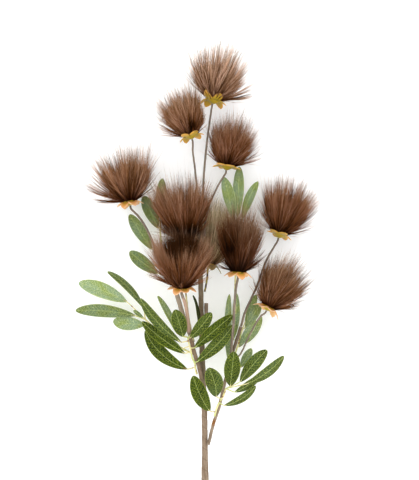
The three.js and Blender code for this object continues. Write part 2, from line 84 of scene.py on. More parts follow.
def smoothRoute(points, count):  # even points of a smooth line through the given ones, and its length
    given = np.array(points, float)
    given = np.vstack([2 * given[0] - given[1], given, 2 * given[-1] - given[-2]])
    t = np.linspace(0, 1, 25)[:, None]  # fine steps from each given point to the next
    line = []
    for a, b, c, d in zip(given, given[1:], given[2:], given[3:]):
        before, here, after = (max(np.linalg.norm(q - p) ** 0.5, 1e-4) for p, q in ((a, b), (b, c), (c, d)))
        leave = (b - a) / before - (c - a) / (before + here) + (c - b) / here
        arrive = (c - b) / here - (d - b) / (here + after) + (d - c) / after
        leave, arrive = leave * here, arrive * here
        square, cube = 3 * (c - b) - 2 * leave - arrive, 2 * (b - c) + leave + arrive
        line.append((b + leave * t + square * t**2 + cube * t**3)[:-1])
    line = np.vstack([*line, given[-2:-1]])
    travelled = np.concatenate([[0], np.cumsum(np.linalg.norm(np.diff(line, axis=0), axis=1))])
    stops = np.linspace(0, travelled[-1], count + 1)
    return np.stack([np.interp(stops, travelled, line[:, k]) for k in range(3)], axis=1), travelled[-1]


# Work on meshes
def selectOnly(*pieces):
    bpy.ops.object.select_all(action="DESELECT")
    for piece in pieces:
        piece.select_set(True)
    bpy.context.view_layer.objects.active = pieces[0]


def cornersOf(piece):
    spots = np.empty(3 * len(piece.data.vertices), np.float32)
    piece.data.vertices.foreach_get("co", spots)
    return spots.reshape(-1, 3).astype(float)


def moveCorners(piece, spots):
    piece.data.vertices.foreach_set("co", np.asarray(spots, np.float32).ravel())
    piece.data.update()


def copyOf(template, name):
    piece = template.copy()
    piece.data = template.data.copy()
    piece.name = name
    bpy.context.collection.objects.link(piece)
    return piece


def flatSheet(across, along):  # one wide and one long, round its middle
    bpy.ops.mesh.primitive_grid_add(x_subdivisions=across, y_subdivisions=along, size=1)
    return bpy.context.active_object


def editAll(piece):
    selectOnly(piece)
    bpy.ops.object.mode_set(mode="EDIT")
    bpy.ops.mesh.select_all(action="SELECT")


def closeSkin():  # all faces look outwards, and the work on the mesh ends
    bpy.ops.mesh.select_all(action="SELECT")
    bpy.ops.mesh.normals_make_consistent(inside=False)
    bpy.ops.object.mode_set(mode="OBJECT")


def applyModifier(piece, kind, **settings):
    selectOnly(piece)
    modifier = piece.modifiers.new(kind.title(), kind)
    for name, value in settings.items():
        setattr(modifier, name, value)
    bpy.ops.object.modifier_apply(modifier=modifier.name)


def ringOf(turn):  # round the axis of a head, which is along +Y in its own space
    return np.stack([np.cos(turn), 0 * turn, np.sin(turn)], axis=1)


def storeColour(piece, name, rows):
    layer = piece.data.attributes.new(name, "FLOAT_COLOR", "POINT")
    layer.data.foreach_set("color", np.asarray(rows, np.float32).ravel())


def storeUv(piece, rows):  # one pair of values for each corner, in millimetres where a pattern follows them
    loops = np.empty(len(piece.data.loops), np.int32)
    piece.data.loops.foreach_get("vertex_index", loops)
    layer = piece.data.uv_layers.active or piece.data.uv_layers.new(name="UVMap")
    layer.data.foreach_set("uv", np.asarray(rows, np.float32)[loops].ravel())


def storeMarks(piece, across, share, tone, light=1):  # what a leaf's or a sepal's finish reads at each corner
    rows = np.stack([np.abs(across), share, 0 * share + tone, 0 * share + light], axis=1)
    storeColour(piece, "blade", rows)


def joinAll(pieces, name):
    selectOnly(*pieces)
    bpy.ops.object.join()
    pieces[0].name = name
    return pieces[0]


def dress(piece, spots, node):  # the finished piece moves with the spray and stands for its CAD node
    moveCorners(piece, toRow(spots))
    selectOnly(piece)
    bpy.ops.object.shade_smooth()
    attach(piece, "root")
    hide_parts(node)


# Materials
def colour(code):
    shares = [int(code[i : i + 2], 16) / 255 for i in (1, 3, 5)]
    return [s / 12.92 if s <= 0.04045 else ((s + 0.055) / 1.055) ** 2.4 for s in shares] + [1]


def fill(node, inputs):  # each with a plain value, a colour code or the output of another node
    for socket, value in inputs.items():
        if isinstance(value, bpy.types.NodeSocket):
            node.id_data.links.new(value, node.inputs[socket])
        else:
            node.inputs[socket].default_value = colour(value) if isinstance(value, str) else value


def addNode(tree, kind, inputs=None, out=0, stops=(), **settings):
    # a ramp's two end stops come before the ones between them
    node = tree.nodes.new("ShaderNode" + kind)
    for name, value in settings.items():
        setattr(node, name, value)
    fill(node, inputs or {})
    for i, (place, code) in enumerate(stops):
        stop = node.color_ramp.elements[i] if i < 2 else node.color_ramp.elements.new(place)
        stop.position, stop.color = place, colour(code)
    return node.outputs[out]


def newMaterial(name, values):  # with what adds nodes to it, and its shader
    material = bpy.data.materials.new(name)
    material.use_nodes = True
    shader = material.node_tree.nodes["Principled BSDF"]
    fill(shader, values)
    return material, partial(addNode, material.node_tree), shader


soft = {"interpolation_type": "SMOOTHSTEP"}  # for a step from 0 to 1 with soft ends
mixColours = {"data_type": "RGBA"}  # its inputs are 0 for the share, 6 and 7 for the two colours
# In a MapRange, 1 and 2 are where its step starts and ends, and 3 and 4 what it gives there


# Dyed polyester fibre, cut from a bundle and fanned out: matt, near black where packed, tan at its ends. The
# near black root is painted shade, and the tan end is partly painted light shining through the fibre
def fibreMaterial(name, stops):
    material, add, shader = newMaterial(name, {"Roughness": 0.6, "Specular IOR Level": 0.05})
    tone, along, _ = add("SeparateXYZ", {0: add("UVMap", uv_map="UVMap")}).node.outputs
    ramp = add("ValToRGB", {0: along}, stops=stops)
    gain = add("MapRange", {0: tone, 3: 0.12, 4: 2.3})  # from the darkest fibre to the palest one
    fade = add("MapRange", {0: tone, 3: 1.25, 4: 0.84})
    dyed = add("HueSaturation", {"Saturation": fade, "Value": gain, "Color": ramp})
    fill(shader, {"Base Color": dyed})
    return material


# Printed polythene leaf: satin, with a fine net of paler veins moulded into it and a thin pale midrib
def leafMaterial(name, look):
    material, add, shader = newMaterial(name, {"Roughness": look["roughness"], "Specular IOR Level": 0.1})
    across, along, _ = add("SeparateXYZ", {0: add("UVMap", uv_map="UVMap")}).node.outputs
    marks = add("Attribute", attribute_name="blade")
    shade = marks.node.outputs["Alpha"]
    edge, _, tone = add("SeparateColor", {0: marks}).node.outputs
    out = add("Math", {0: across}, operation="ABSOLUTE")
    slanted = add("Math", {0: out, 1: -look["veinSlant"], 2: along}, operation="MULTIPLY_ADD")
    stretched = add("Math", {0: slanted, 1: 0.6}, operation="MULTIPLY")
    spot = add("CombineXYZ", {0: across, 1: stretched, 2: shade})

    cell = {"Vector": spot, "Scale": 1 / look["netCell"]}
    walls = add("TexVoronoi", cell, feature="DISTANCE_TO_EDGE")
    cord = add("MapRange", {0: walls, 1: 0.02, 2: look["netWidth"], 3: 1.0, 4: 0.0}, **soft)
    patches = add("TexNoise", {"Vector": spot, "Scale": 1.1, "Detail": 1})
    kept = add("MapRange", {0: patches, 1: 0.44, 2: 0.6}, **soft)
    net = add("Math", {0: cord, 1: kept}, operation="MULTIPLY")
    steps = add("Math", {0: slanted, 1: look["veinSpacing"]}, operation="DIVIDE")
    wave = add("Math", {0: steps, 1: 0.5}, operation="PINGPONG")
    veins = add("MapRange", {0: wave, 1: 0.02, 2: 0.07, 3: 0.4, 4: 0.0}, **soft)
    drawn = add("Math", {0: net, 1: veins}, operation="MAXIMUM")
    midrib = add("MapRange", {0: out, 1: 0.14, 2: 0.34, 3: look["ribShare"], 4: 0.0}, **soft)
    rim = add("MapRange", {0: edge, 1: 0.9, 2: 0.98, 4: 0.5}, **soft)

    mottle = add("TexNoise", {"Vector": spot, "Scale": 0.09, "Detail": 3})
    mottled = add("MapRange", {0: mottle, 1: 0.35, 2: 0.65}, **soft)
    green = add("Mix", {0: mottled, 6: look["dark"], 7: look["mid"]}, 2, **mixColours)
    pale = add("Mix", {0: mottled, 6: look["pale"], 7: look["paleTint"]}, 2, **mixColours)
    line = add("Mix", {0: tone, 6: look["net"], 7: look["paleNet"]}, 2, **mixColours)
    paint = green
    for share, over in ((tone, pale), (drawn, line), (rim, line), (midrib, look["midrib"])):
        paint = add("Mix", {0: share, 6: paint, 7: over}, 2, **mixColours)
    paint = add("Mix", {0: shade, 6: look["deepShade"], 7: paint}, 2, **mixColours)
    height = add("Math", {0: midrib, 1: drawn}, operation="MAXIMUM")
    bump = add("Bump", {"Strength": 0.5, "Distance": 0.0003, "Height": height})
    fill(shader, {"Base Color": paint, "Normal": bump})
    return material


# Moulded polythene stalk, cream with brown scars: waxy, a little light goes into it
def stalkMaterial(look):
    material, add, shader = newMaterial("mouldedStalk", {"Roughness": 0.45, "Subsurface Weight": 0.1})
    place = add("TexCoord").node.outputs["Object"]
    tint = add("TexNoise", {"Vector": place, "Scale": 90, "Detail": 2})
    tinted = add("MapRange", {0: tint, 1: 0.4, 2: 0.65}, **soft)
    scars = add("TexNoise", {"Vector": place, "Scale": 240, "Detail": 1})
    scarred = add("MapRange", {0: scars, 1: 0.6, 2: 0.68}, **soft)
    paint = look["cream"]
    for share, over in ((tinted, look["green"]), (scarred, look["scar"])):
        paint = add("Mix", {0: share, 6: paint, 7: over}, 2, **mixColours)
    fill(shader, {"Base Color": paint})
    return material


# Moulded sepal: satin polythene, olive where it joins the cup, running to orange at its rim and point
def sepalMaterial(name, stops):
    material, add, shader = newMaterial(name, {"Roughness": 0.42, "Subsurface Weight": 0.08})
    marks = add("Attribute", attribute_name="blade")
    edge, share, tone = add("SeparateColor", {0: marks}).node.outputs
    place = add("TexCoord").node.outputs["Object"]
    mottle = add("TexNoise", {"Vector": place, "Scale": 220, "Detail": 3})
    rim = add("Math", {0: edge, 1: 2.6}, operation="POWER")
    run = add("Math", {0: rim, 1: 0.4, 2: share}, operation="MULTIPLY_ADD")
    uneven = add("Math", {0: mottle, 1: 0.5, 2: run}, operation="MULTIPLY_ADD")
    varied = add("Math", {0: tone, 1: 0.4, 2: uneven}, operation="MULTIPLY_ADD")
    shifted = add("Math", {0: varied, 1: -0.5}, operation="ADD")
    ramp = add("ValToRGB", {0: shifted}, stops=stops)
    bump = add("Bump", {"Strength": 0.3, "Distance": 0.0003, "Height": mottle})
    fill(shader, {"Base Color": ramp, "Normal": bump})
    return material


# Crepe paper tape, waxed and wound round a wire in a long spiral: dry and streaky, darker where it laps
def tapeMaterial(name, look):
    material, add, shader = newMaterial(name, {"Roughness": 0.82, "Specular IOR Level": 0.2})
    around, along, _ = add("SeparateXYZ", {0: add("UVMap", uv_map="UVMap")}).node.outputs
    wound = add("Math", {0: along, 1: 1 / look["pitch"], 2: around}, operation="MULTIPLY_ADD")
    lap = add("Math", {0: wound}, operation="FRACT")
    start = add("MapRange", {0: lap, 1: 0.02, 2: 0.1, 3: 0.45, 4: 0.0}, **soft)
    end = add("MapRange", {0: lap, 1: 0.94, 2: 0.99, 4: 0.45}, **soft)
    lapLine = add("Math", {0: start, 1: end}, operation="MAXIMUM")
    ring = add("Math", {0: around, 1: 2 * math.pi}, operation="MULTIPLY")
    cosine = add("Math", {0: ring}, operation="COSINE")
    sine = add("Math", {0: ring}, operation="SINE")
    spot = add("CombineXYZ", {0: cosine, 1: sine, 2: along})
    girth = (look["radius"], look["radius"])
    long = add("VectorMath", {0: spot, 1: (*girth, 0.06)}, operation="MULTIPLY")
    fine = add("VectorMath", {0: spot, 1: (*girth, 1.3)}, operation="MULTIPLY")
    streaks = add("TexNoise", {"Vector": long, "Scale": 0.9, "Detail": 3})
    streaked = add("MapRange", {0: streaks, 1: 0.35, 2: 0.65}, **soft)
    crepe = add("TexNoise", {"Vector": fine, "Scale": 1.6, "Detail": 4})
    creased = add("MapRange", {0: crepe, 1: 0.35, 2: 0.7, 4: 0.35}, **soft)
    worn = add("MapRange", {0: crepe, 1: 0.25, 2: 0.45}, **soft)
    # stains, and painted shade where a band stands for it, show through where the crepe is worn
    stainAndShade = add("Attribute", attribute_name="stainAndShade")
    stainAndShadeShare = add("Math", {0: stainAndShade.node.outputs["Alpha"], 1: worn}, operation="MULTIPLY")
    paint = add("Mix", {0: streaked, 6: look["dark"], 7: look["light"]}, 2, **mixColours)
    for share, over in ((creased, look["deep"]), (lapLine, look["deep"]), (stainAndShadeShare, stainAndShade)):
        paint = add("Mix", {0: share, 6: paint, 7: over}, 2, **mixColours)
    height = add("Math", {0: lap, 1: 0.5, 2: crepe}, operation="MULTIPLY_ADD")
    bump = add("Bump", {"Strength": 0.55, "Distance": 0.0004, "Height": height})
    fill(shader, {"Base Color": paint, "Normal": bump})
    return material


tapeLooks = {  # pitch is the rise of one turn of the tape and radius that of the stem, in mm
    "waxedPaperTape": {"dark": "#7f6d59", "light": "#a89781", "deep": "#544232", "pitch": 13, "radius": 3.3},
    "darkPaperTape": {"dark": "#62564a", "light": "#8f8070", "deep": "#40362c", "pitch": 7, "radius": 1.3},
}
tapes = {name: tapeMaterial(name, look) for name, look in tapeLooks.items()}
stalkFinish = stalkMaterial({"cream": "#dccf94", "green": "#bfc578", "scar": "#85592a"})
fibreDyesAndPaintedLight = {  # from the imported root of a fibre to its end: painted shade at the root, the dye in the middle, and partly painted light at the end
    "brown": [(0, "#28130a"), (1, "#ab8d74"), (0.1, "#4a2917"), (0.3, "#7a5036"), (0.7, "#91684b")],
    "lightBrown": [(0, "#372014"), (1, "#c3a891"), (0.1, "#5e3d2b"), (0.3, "#906a50"), (0.7, "#ab876d")],
    "warmBrown": [(0, "#220e06"), (1, "#a07e66"), (0.12, "#41220f"), (0.35, "#72472d"), (0.7, "#84593e")],
    "darkBrown": [(0, "#150a05"), (1, "#a08068"), (0.18, "#2b160b"), (0.42, "#54301c"), (0.7, "#69452e")],
    "tan": [(0, "#382816"), (1, "#c8b896"), (0.16, "#6c5232"), (0.4, "#9c835c"), (0.7, "#b6a17d")],
}
fibreFinishes = {dye: fibreMaterial(dye + "Fibre", stops) for dye, stops in fibreDyesAndPaintedLight.items()}
leafColours = {
    "dark": "#1a2b02",
    "mid": "#2a3c04",
    "pale": "#7c8d47",
    "paleTint": "#7a9070",
    "net": "#929e30",
    "paleNet": "#d3daa8",
    "midrib": "#bcc876",
    "ribShare": 0.5,
    "deepShade": "#141a06",
    "netCell": 1.2,  # moulded net, in mm
    "netWidth": 0.08,
    "veinSpacing": 5.0,  # side veins
    "veinSlant": 1.1,
    "roughness": 0.45,
}
leafTop = leafMaterial("printedLeaf", leafColours)
undersideColours = {"dark": "#56742f", "mid": "#6b8744", "pale": "#96a67a", "paleTint": "#a1a982"}
leafUnder = leafMaterial("leafUnderside", {**leafColours, **undersideColours, "roughness": 0.6})
sepalDyesAndShade = {  # from the cup to the point
    "mouldedSepal": [(0, "#7d7118"), (1, "#e2a648"), (0.35, "#ab901c"), (0.75, "#c99a28")],
    "peachSepal": [(0, "#8f7a22"), (1, "#eab98e"), (0.35, "#c98a34"), (0.7, "#e09a5c")],
    # painted shade: near black, for a calyx that lies in the shade of the tufts
    "shadedSepal": [(0, "#120a05"), (1, "#331c0e")],
    "dullSepal": [(0, "#55501f"), (1, "#8c7d4c")],
    "sepalUnderside": [(0, "#b08030"), (1, "#efbd88"), (0.5, "#e0a052")],  # of a peach one
}
sepalFinishes = {name: sepalMaterial(name, stops) for name, stops in sepalDyesAndShade.items()}
print("materials ready")

# Stems
# A stain is from and to, in mm along the stem, its colour and its strength. Most are real stains, and the
# main stem's first, dark brown one is partly painted shade
stemPlans = {
    "mainStem": {
        "node": "main_stem",
        "route": [
            [1, 0, 4.6], [0, 96, 16], [-0.6, 168, 26], [-2.4, 222, 33], [-3.6, 252, 37], [-4.8, 312, 44],
            [-5.4, 357, 50], [-4, 398, 53.5],
        ],
        "radii": [(0, 4.6), (0.23, 4.6), (0.31, 3.7), (1, 2.8)],
        # the first band is partly a real stain and partly painted shade between the leaves
        "stainsAndShade": [(95, 215, "#5a3c28", 0.3), (215, 420, "#4c4028", 0.6)],
    },
    "cutStub": {
        "node": "cut_stub",
        "route": [[1.7, 272, 39.6], [1.5, 290, 41.6], [1.3, 308, 43.7]],
        "radii": [(0, 2.4), (1, 2.4)],
        "stainsAndShade": [(24, 40, "#6f5d4e", 0.8)],
    },
    "leftBranch": {
        "node": "left_branch",
        "route": [
            [-3.6, 213, 37], [-7.6, 232.8, 40.4], [-11.4, 243.6, 41.6], [-13.8, 252, 42.5], [-18, 270, 45],
            [-24, 285.6, 47], [-28.2, 299.3, 49], [-36.6, 329, 50.4],
        ],
        "radii": [(0, 2.4), (1, 2.9)],
        "stainsAndShade": [(0, 60, "#6a4c38", 0.45), (75, 125, "#a89a88", 0.5)],
    },
    "rightBranch": {
        "node": "right_branch",
        "route": [
            [3.9, 137, 25.2], [10.8, 164.6, 28.4], [17, 183, 30.4], [22.9, 208.5, 33.2], [33.6, 249.6, 37.2],
            [43.2, 279.7, 39.4],
        ],
        "radii": [(0, 2), (1, 2.1)],
        "stainsAndShade": [(0, 17, "#5c4a3c", 0.6), (22, 34, "#7a4a12", 0.9), (112, 150, "#5a4a3c", 0.75)],
    },
}
tubeLook = {
    "tapeStep": 0.22,  # how far a lap of the tape stands up
    "lapMiddle": 0.7,  # share of a lap where the stem is as thick as planned
    "lumps": 0.1,
    "lumpWaves": (0.31, 0.17),
    "stainAndShadeFade": 4,
}
tubeKinds = {  # spacing is from ring to ring, and steps are the stretches that the fibres keep clear of
    "stem": {"finish": tapes["waxedPaperTape"], "sides": 14, "spacing": 1.4, "pitch": 13, "steps": 18},
    "wire": {"finish": tapes["darkPaperTape"], "sides": 9, "spacing": 1.4, "pitch": 7, "steps": 9},
    "stalk": {"finish": stalkFinish, "sides": 8, "spacing": 1.6, "pitch": 0, "steps": 7},
    "petiole": {"finish": stalkFinish, "sides": 6, "spacing": 2, "pitch": 0},
}


def rollTube(name, points, radii, kind, stainsAndShade=()):
    # a flat sheet rolled up round the route, sewn along its seam and closed at both ends
    length = smoothRoute(points, 2)[1]
    rings = max(4, round(length / kind["spacing"]))
    route = smoothRoute(points, rings)[0]
    ahead = unit(np.gradient(route, axis=0))
    crosswise = [unit(np.cross(ahead[0], up + [0.01, 0, 0]))]  # a little off, should the route start upright
    for direction in ahead[1:]:
        crosswise.append(unit(crosswise[-1] - direction * (crosswise[-1] @ direction)))
    crosswise = np.array(crosswise)
    upright = np.cross(ahead, crosswise)

    piece = flatSheet(kind["sides"], rings)
    piece.name = name
    flat = cornersOf(piece)
    turn = 2 * math.pi * (flat[:, 0] + 0.5)
    ring = np.rint((flat[:, 1] + 0.5) * rings).astype(int)
    walked = ring / rings * length
    radius = np.interp(ring / rings, *zip(*radii))
    if kind["pitch"]:
        lap = (walked / kind["pitch"] + turn / (2 * math.pi)) % 1
        long, short = tubeLook["lumpWaves"]
        lumps = np.sin(long * walked + turn) * np.sin(short * walked + 2 * turn)
        radius = radius + tubeLook["tapeStep"] * (lap - tubeLook["lapMiddle"]) + tubeLook["lumps"] * lumps
        paint = np.zeros((len(flat), 4))
        for start, end, code, strength in stainsAndShade:
            inside = np.clip(np.minimum(walked - start, end - walked) / tubeLook["stainAndShadeFade"], 0, 1)
            paint = np.where(inside[:, None] > 0, [*colour(code)[:3], 0], paint)
            paint[:, 3] = np.maximum(paint[:, 3], inside * strength)
        storeColour(piece, "stainAndShade", paint)
    offset = np.cos(turn)[:, None] * crosswise[ring] + np.sin(turn)[:, None] * upright[ring]
    moveCorners(piece, route[ring] + radius[:, None] * offset)
    storeUv(piece, np.stack([flat[:, 0] + 0.5, walked], axis=1))

    editAll(piece)
    bpy.ops.mesh.remove_doubles(threshold=0.001)
    bpy.ops.mesh.fill_holes(sides=0)
    closeSkin()
    piece.data.materials.append(kind["finish"])
    return piece


# Flower heads
# Base is where the fibres leave the calyx. Stem is the way to it, and radii are those of the stem's ends.
# Lean is to the right and rise is off level, in degrees. Spread is the tuft's half width, reach its length,
# and risen how far the front sepals stand up. What a head doesn't state is in sepalLook and tuftLook
heads = [
    {
        "name": "top", "base": [10.4, 553.4, 46], "lean": 13, "rise": -4, "spread": 43, "reach": 71,
        "stem": [[-4, 398.4, 53.5], [-2.8, 424, 53], [-2.2, 447.6, 52], [1.2, 492, 49.5]],
        "radii": [1.5, 1.2],
        "dye": "lightBrown", "lengths": (0.62, 1.26), "thinning": 5, "gather": 0.66, "risen": 9,
        "strays": [
            (64.3, 555, 44), (61.2, 550.2, 40), (60.5, 567, 47), (58, 559.5, 50), (-24, 592, 47),
            (-19, 601, 42), (53, 578, 56), (66, 575, 48), (-16, 585, 50),
        ],
    },
    {
        "name": "second", "base": [-17.4, 510.8, 56], "lean": -17, "rise": 4, "spread": 33, "reach": 62,
        "stem": [[-7.6, 386, 55], [-8.6, 405, 56], [-9.4, 440, 55.5], [-12.2, 470.4, 55], [-14.6, 490, 55]],
        "radii": [1.3, 1.2],
        "thinning": 3.2, "pips": [(-14.6, 522.2, 1.2)], "risen": 5, "lobes": [(2, 541, 70), (-4, 552, 66)],
        "strays": [(-63.4, 526.2, 52), (-58.6, 534, 60), (-60, 516, 58), (-59.3, 550, 56)],
    },
    {
        "name": "third", "base": [26.4, 474, 42], "lean": 9, "rise": -4, "spread": 32, "reach": 62,
        "stem": [[-0.5, 388, 55.6], [0.2, 404, 55.8], [4.6, 424, 54], [11.3, 440, 50.5], [17.2, 452, 47]],
        "radii": [1.3, 1.2],
        "dye": "warmBrown", "thinning": 2.2, "risen": 1, "droops": (0, 3), "lobes": [(4, 518, 60)],
        "strays": [(67.7, 490.8, 42), (65.5, 499.6, 36), (60.7, 520.8, 44), (2, 504, 46), (69, 484, 36)],
    },
    {
        "name": "left", "base": [-91, 431.5, 34], "lean": -9, "rise": -3, "spread": 45, "reach": 66,
        "stem": [
            [-36.9, 329.6, 50.4], [-44.4, 344.4, 50], [-54, 362.4, 49], [-62.4, 380.4, 46],
            [-70.8, 398.4, 42], [-79.8, 412, 38],
        ],
        "radii": [1.8, 1.3], "stainsAndShade": [(0, 40, "#a89a88", 0.5)],
        "pips": [(-110.4, 487, 1.2)], "lengths": (0.66, 1.22), "thinning": 4, "gather": 0.56, "rimDrop": 0.22,
        "sepals": "peachSepal",
        "strays": [
            (-152, 453, 34), (-149, 448.5, 40), (-140.4, 429.2, 34), (-141, 433, 28), (-148, 470, 36),
            (-150, 459, 44),
        ],
    },
    {
        "name": "upper_centre", "base": [-23.4, 386, 70], "lean": -6, "rise": 8, "spread": 41, "reach": 74,
        "stem": [
            [-13.3, 262, 46.4], [-16, 272, 48.9], [-18.8, 286, 50.5], [-21.2, 302, 53], [-23, 322, 56],
            [-23.2, 344, 59.5], [-22.9, 362, 64.5],
        ],
        "radii": [1.2, 1.2], "stainsAndShade": [(0, 60, "#c9bd8a", 0.85)],
        # its calyx is painted near black as shade
        "dye": "warmBrown", "sepals": "shadedSepal", "rimDrop": 0.22, "thinning": 1.4,
        "pips": [(-24, 444, 0.8), (-38, 393, 2.6), (-17, 393, 2.6)],
        "lobes": [(-63, 434, 86), (-57, 452, 84), (-60, 444, 88)],
        "strays": [(-68.4, 446.4, 80), (-70, 436, 76), (-66, 411.6, 84), (-62, 404, 76)],
    },
    {
        "name": "lower_centre", "base": [-27.6, 329.2, 94], "lean": 0, "rise": 16, "spread": 43, "reach": 72,
        "stem": [[-19, 272, 51.4], [-20.4, 286, 57.6], [-21.8, 298, 68], [-24, 309, 79.5]],
        "radii": [2.2, 1.9], "stainsAndShade": [(0, 60, "#b0917c", 0.9)],
        "dye": "warmBrown", "thinning": 1, "pips": [(-42, 384, 1.7), (-29, 389, 1.8), (-15, 387, 1.6)],
        "inner": (0.6, 0.94, 900), "lobes": [(-64, 386, 88), (12, 386, 92)], "sepals": "peachSepal",
        "strays": [(-72.5, 345, 90), (-73, 353, 96), (-71, 370.8, 90), (13.7, 362.9, 96), (9, 372, 100)],
    },
    {
        "name": "right_centre", "base": [39.6, 347.3, 80], "lean": 3, "rise": 6, "spread": 33, "reach": 77,
        "stem": [
            [31.1, 246, 40.3], [32.9, 268.8, 51.4], [34.3, 287.2, 59.4], [35.4, 309.1, 67.6],
            [37.4, 330, 76.4],
        ],
        "radii": [1.7, 1.5], "dye": "darkBrown", "sepals": "peachSepal",
        "rimDrop": 0.26, "thinning": 1.6, "pips": [(29, 379, 2.2)],
        "strays": [(72, 372, 80), (69, 382, 84), (71, 362, 76), (10, 356, 84)],
    },
    {
        "name": "upper_right", "base": [90, 392.4, 34], "lean": 15, "rise": -3, "spread": 38, "reach": 67,
        "stem": [
            [43.4, 280.2, 39.3], [47.2, 294.5, 37], [54.6, 311.4, 34], [62.6, 329, 32], [74.4, 360.5, 32],
        ],
        "radii": [1.5, 1.2],
        "pips": [(106.8, 447.6, 1.1)], "dye": "warmBrown", "rimDrop": 0.26, "risen": 3, "droops": (0, 5),
        "strays": [(141, 420, 34), (139, 428, 30), (66.6, 434.4, 36), (72, 445, 30)],
    },
    {
        "name": "lower_right", "base": [76.8, 304.8, 46], "lean": 28, "rise": 0, "spread": 34, "reach": 68,
        "stem": [
            [33.9, 238.5, 37.4], [42, 246, 38], [52.3, 267.2, 40.5], [59.6, 281.3, 42.5],
            [67.1, 292.4, 44.8],
        ],
        "radii": [1.1, 1.1], "thinning": 3, "sepals": "peachSepal",
        "strays": [(118.8, 306.4, 46), (116, 311, 40), (63.1, 318.6, 50), (66, 332, 44)],
    },
    {
        "name": "hidden", "base": [4.8, 356.4, 27], "lean": 10, "rise": -2, "spread": 33, "reach": 76,
        "stem": [[-0.5, 322, 45.4], [1.2, 330, 42], [2.6, 339, 35]],
        "stainsAndShade": [(0, 60, "#a39a4c", 0.9), (5, 11, "#3c2412", 0.9), (20, 26, "#3c2412", 0.9)],
        "radii": [1.3, 1.2], "dye": "tan", "sepals": "dullSepal", "thinning": 1,
    },
]
overlapping = [("lower_centre", "upper_centre")]  # the first one's fibres run out over the other's foot
cup = {
    "straight": 3,  # the last of a head's stem
    "height": 6,  # from the stem's end to the fibres
    "gap": 0.3,
    "footRadius": 2.2,
    "shoulder": 6.6,
    "shoulderBelow": 3.2,
    "rim": 9,
    "wall": 0.9,
    "hollow": 1.6,
    "bevel": 0.4,
    "shading": (0.35, 0.05),  # where its foot stands on the sepals' ramp of colours, and what each mm adds
    "sides": 20,
}


def axisOf(head):
    lean, rise = math.radians(head["lean"]), math.radians(head["rise"])
    return np.array([math.sin(lean) * math.cos(rise), math.cos(lean) * math.cos(rise), math.sin(rise)])


def turnOf(head):
    return np.array(Vector((0, 1, 0)).rotation_difference(Vector(axisOf(head))).to_matrix())


def onHead(head, spots):  # from a shape's own space, with its foot at 0 and its axis along +Y, to the plan
    return spots @ turnOf(head).T + head["base"]


def alongHead(head, height):  # a point on its axis, this far above the foot of the fibres
    return np.array(head["base"]) + axisOf(head) * height


lines = []  # what the fibres keep clear of: start, end and radius of short straight stretches


def keepLine(points, radius):
    lines.extend((a, b, radius) for a, b in zip(points, points[1:]))


for name, plan in stemPlans.items():
    tube = rollTube(name, plan["route"], plan["radii"], tubeKinds["stem"], plan["stainsAndShade"])
    dress(tube, cornersOf(tube), plan["node"])
    keepLine(smoothRoute(plan["route"], tubeKinds["stem"]["steps"])[0], plan["radii"][-1][1])

stemEnd = -cup["height"] - cup["gap"]
for head in heads:
    route = [*head["stem"], alongHead(head, stemEnd - cup["straight"]), alongHead(head, stemEnd)]
    radii = list(enumerate(head["radii"]))
    tube = rollTube(head["name"] + "Wire", route, radii, tubeKinds["wire"], head.get("stainsAndShade", ()))
    dress(tube, cornersOf(tube), "stem_" + head["name"])
    keepLine(smoothRoute(route, tubeKinds["wire"]["steps"])[0], head["radii"][0])
print("stems ready,", len(stemPlans) + len(heads))

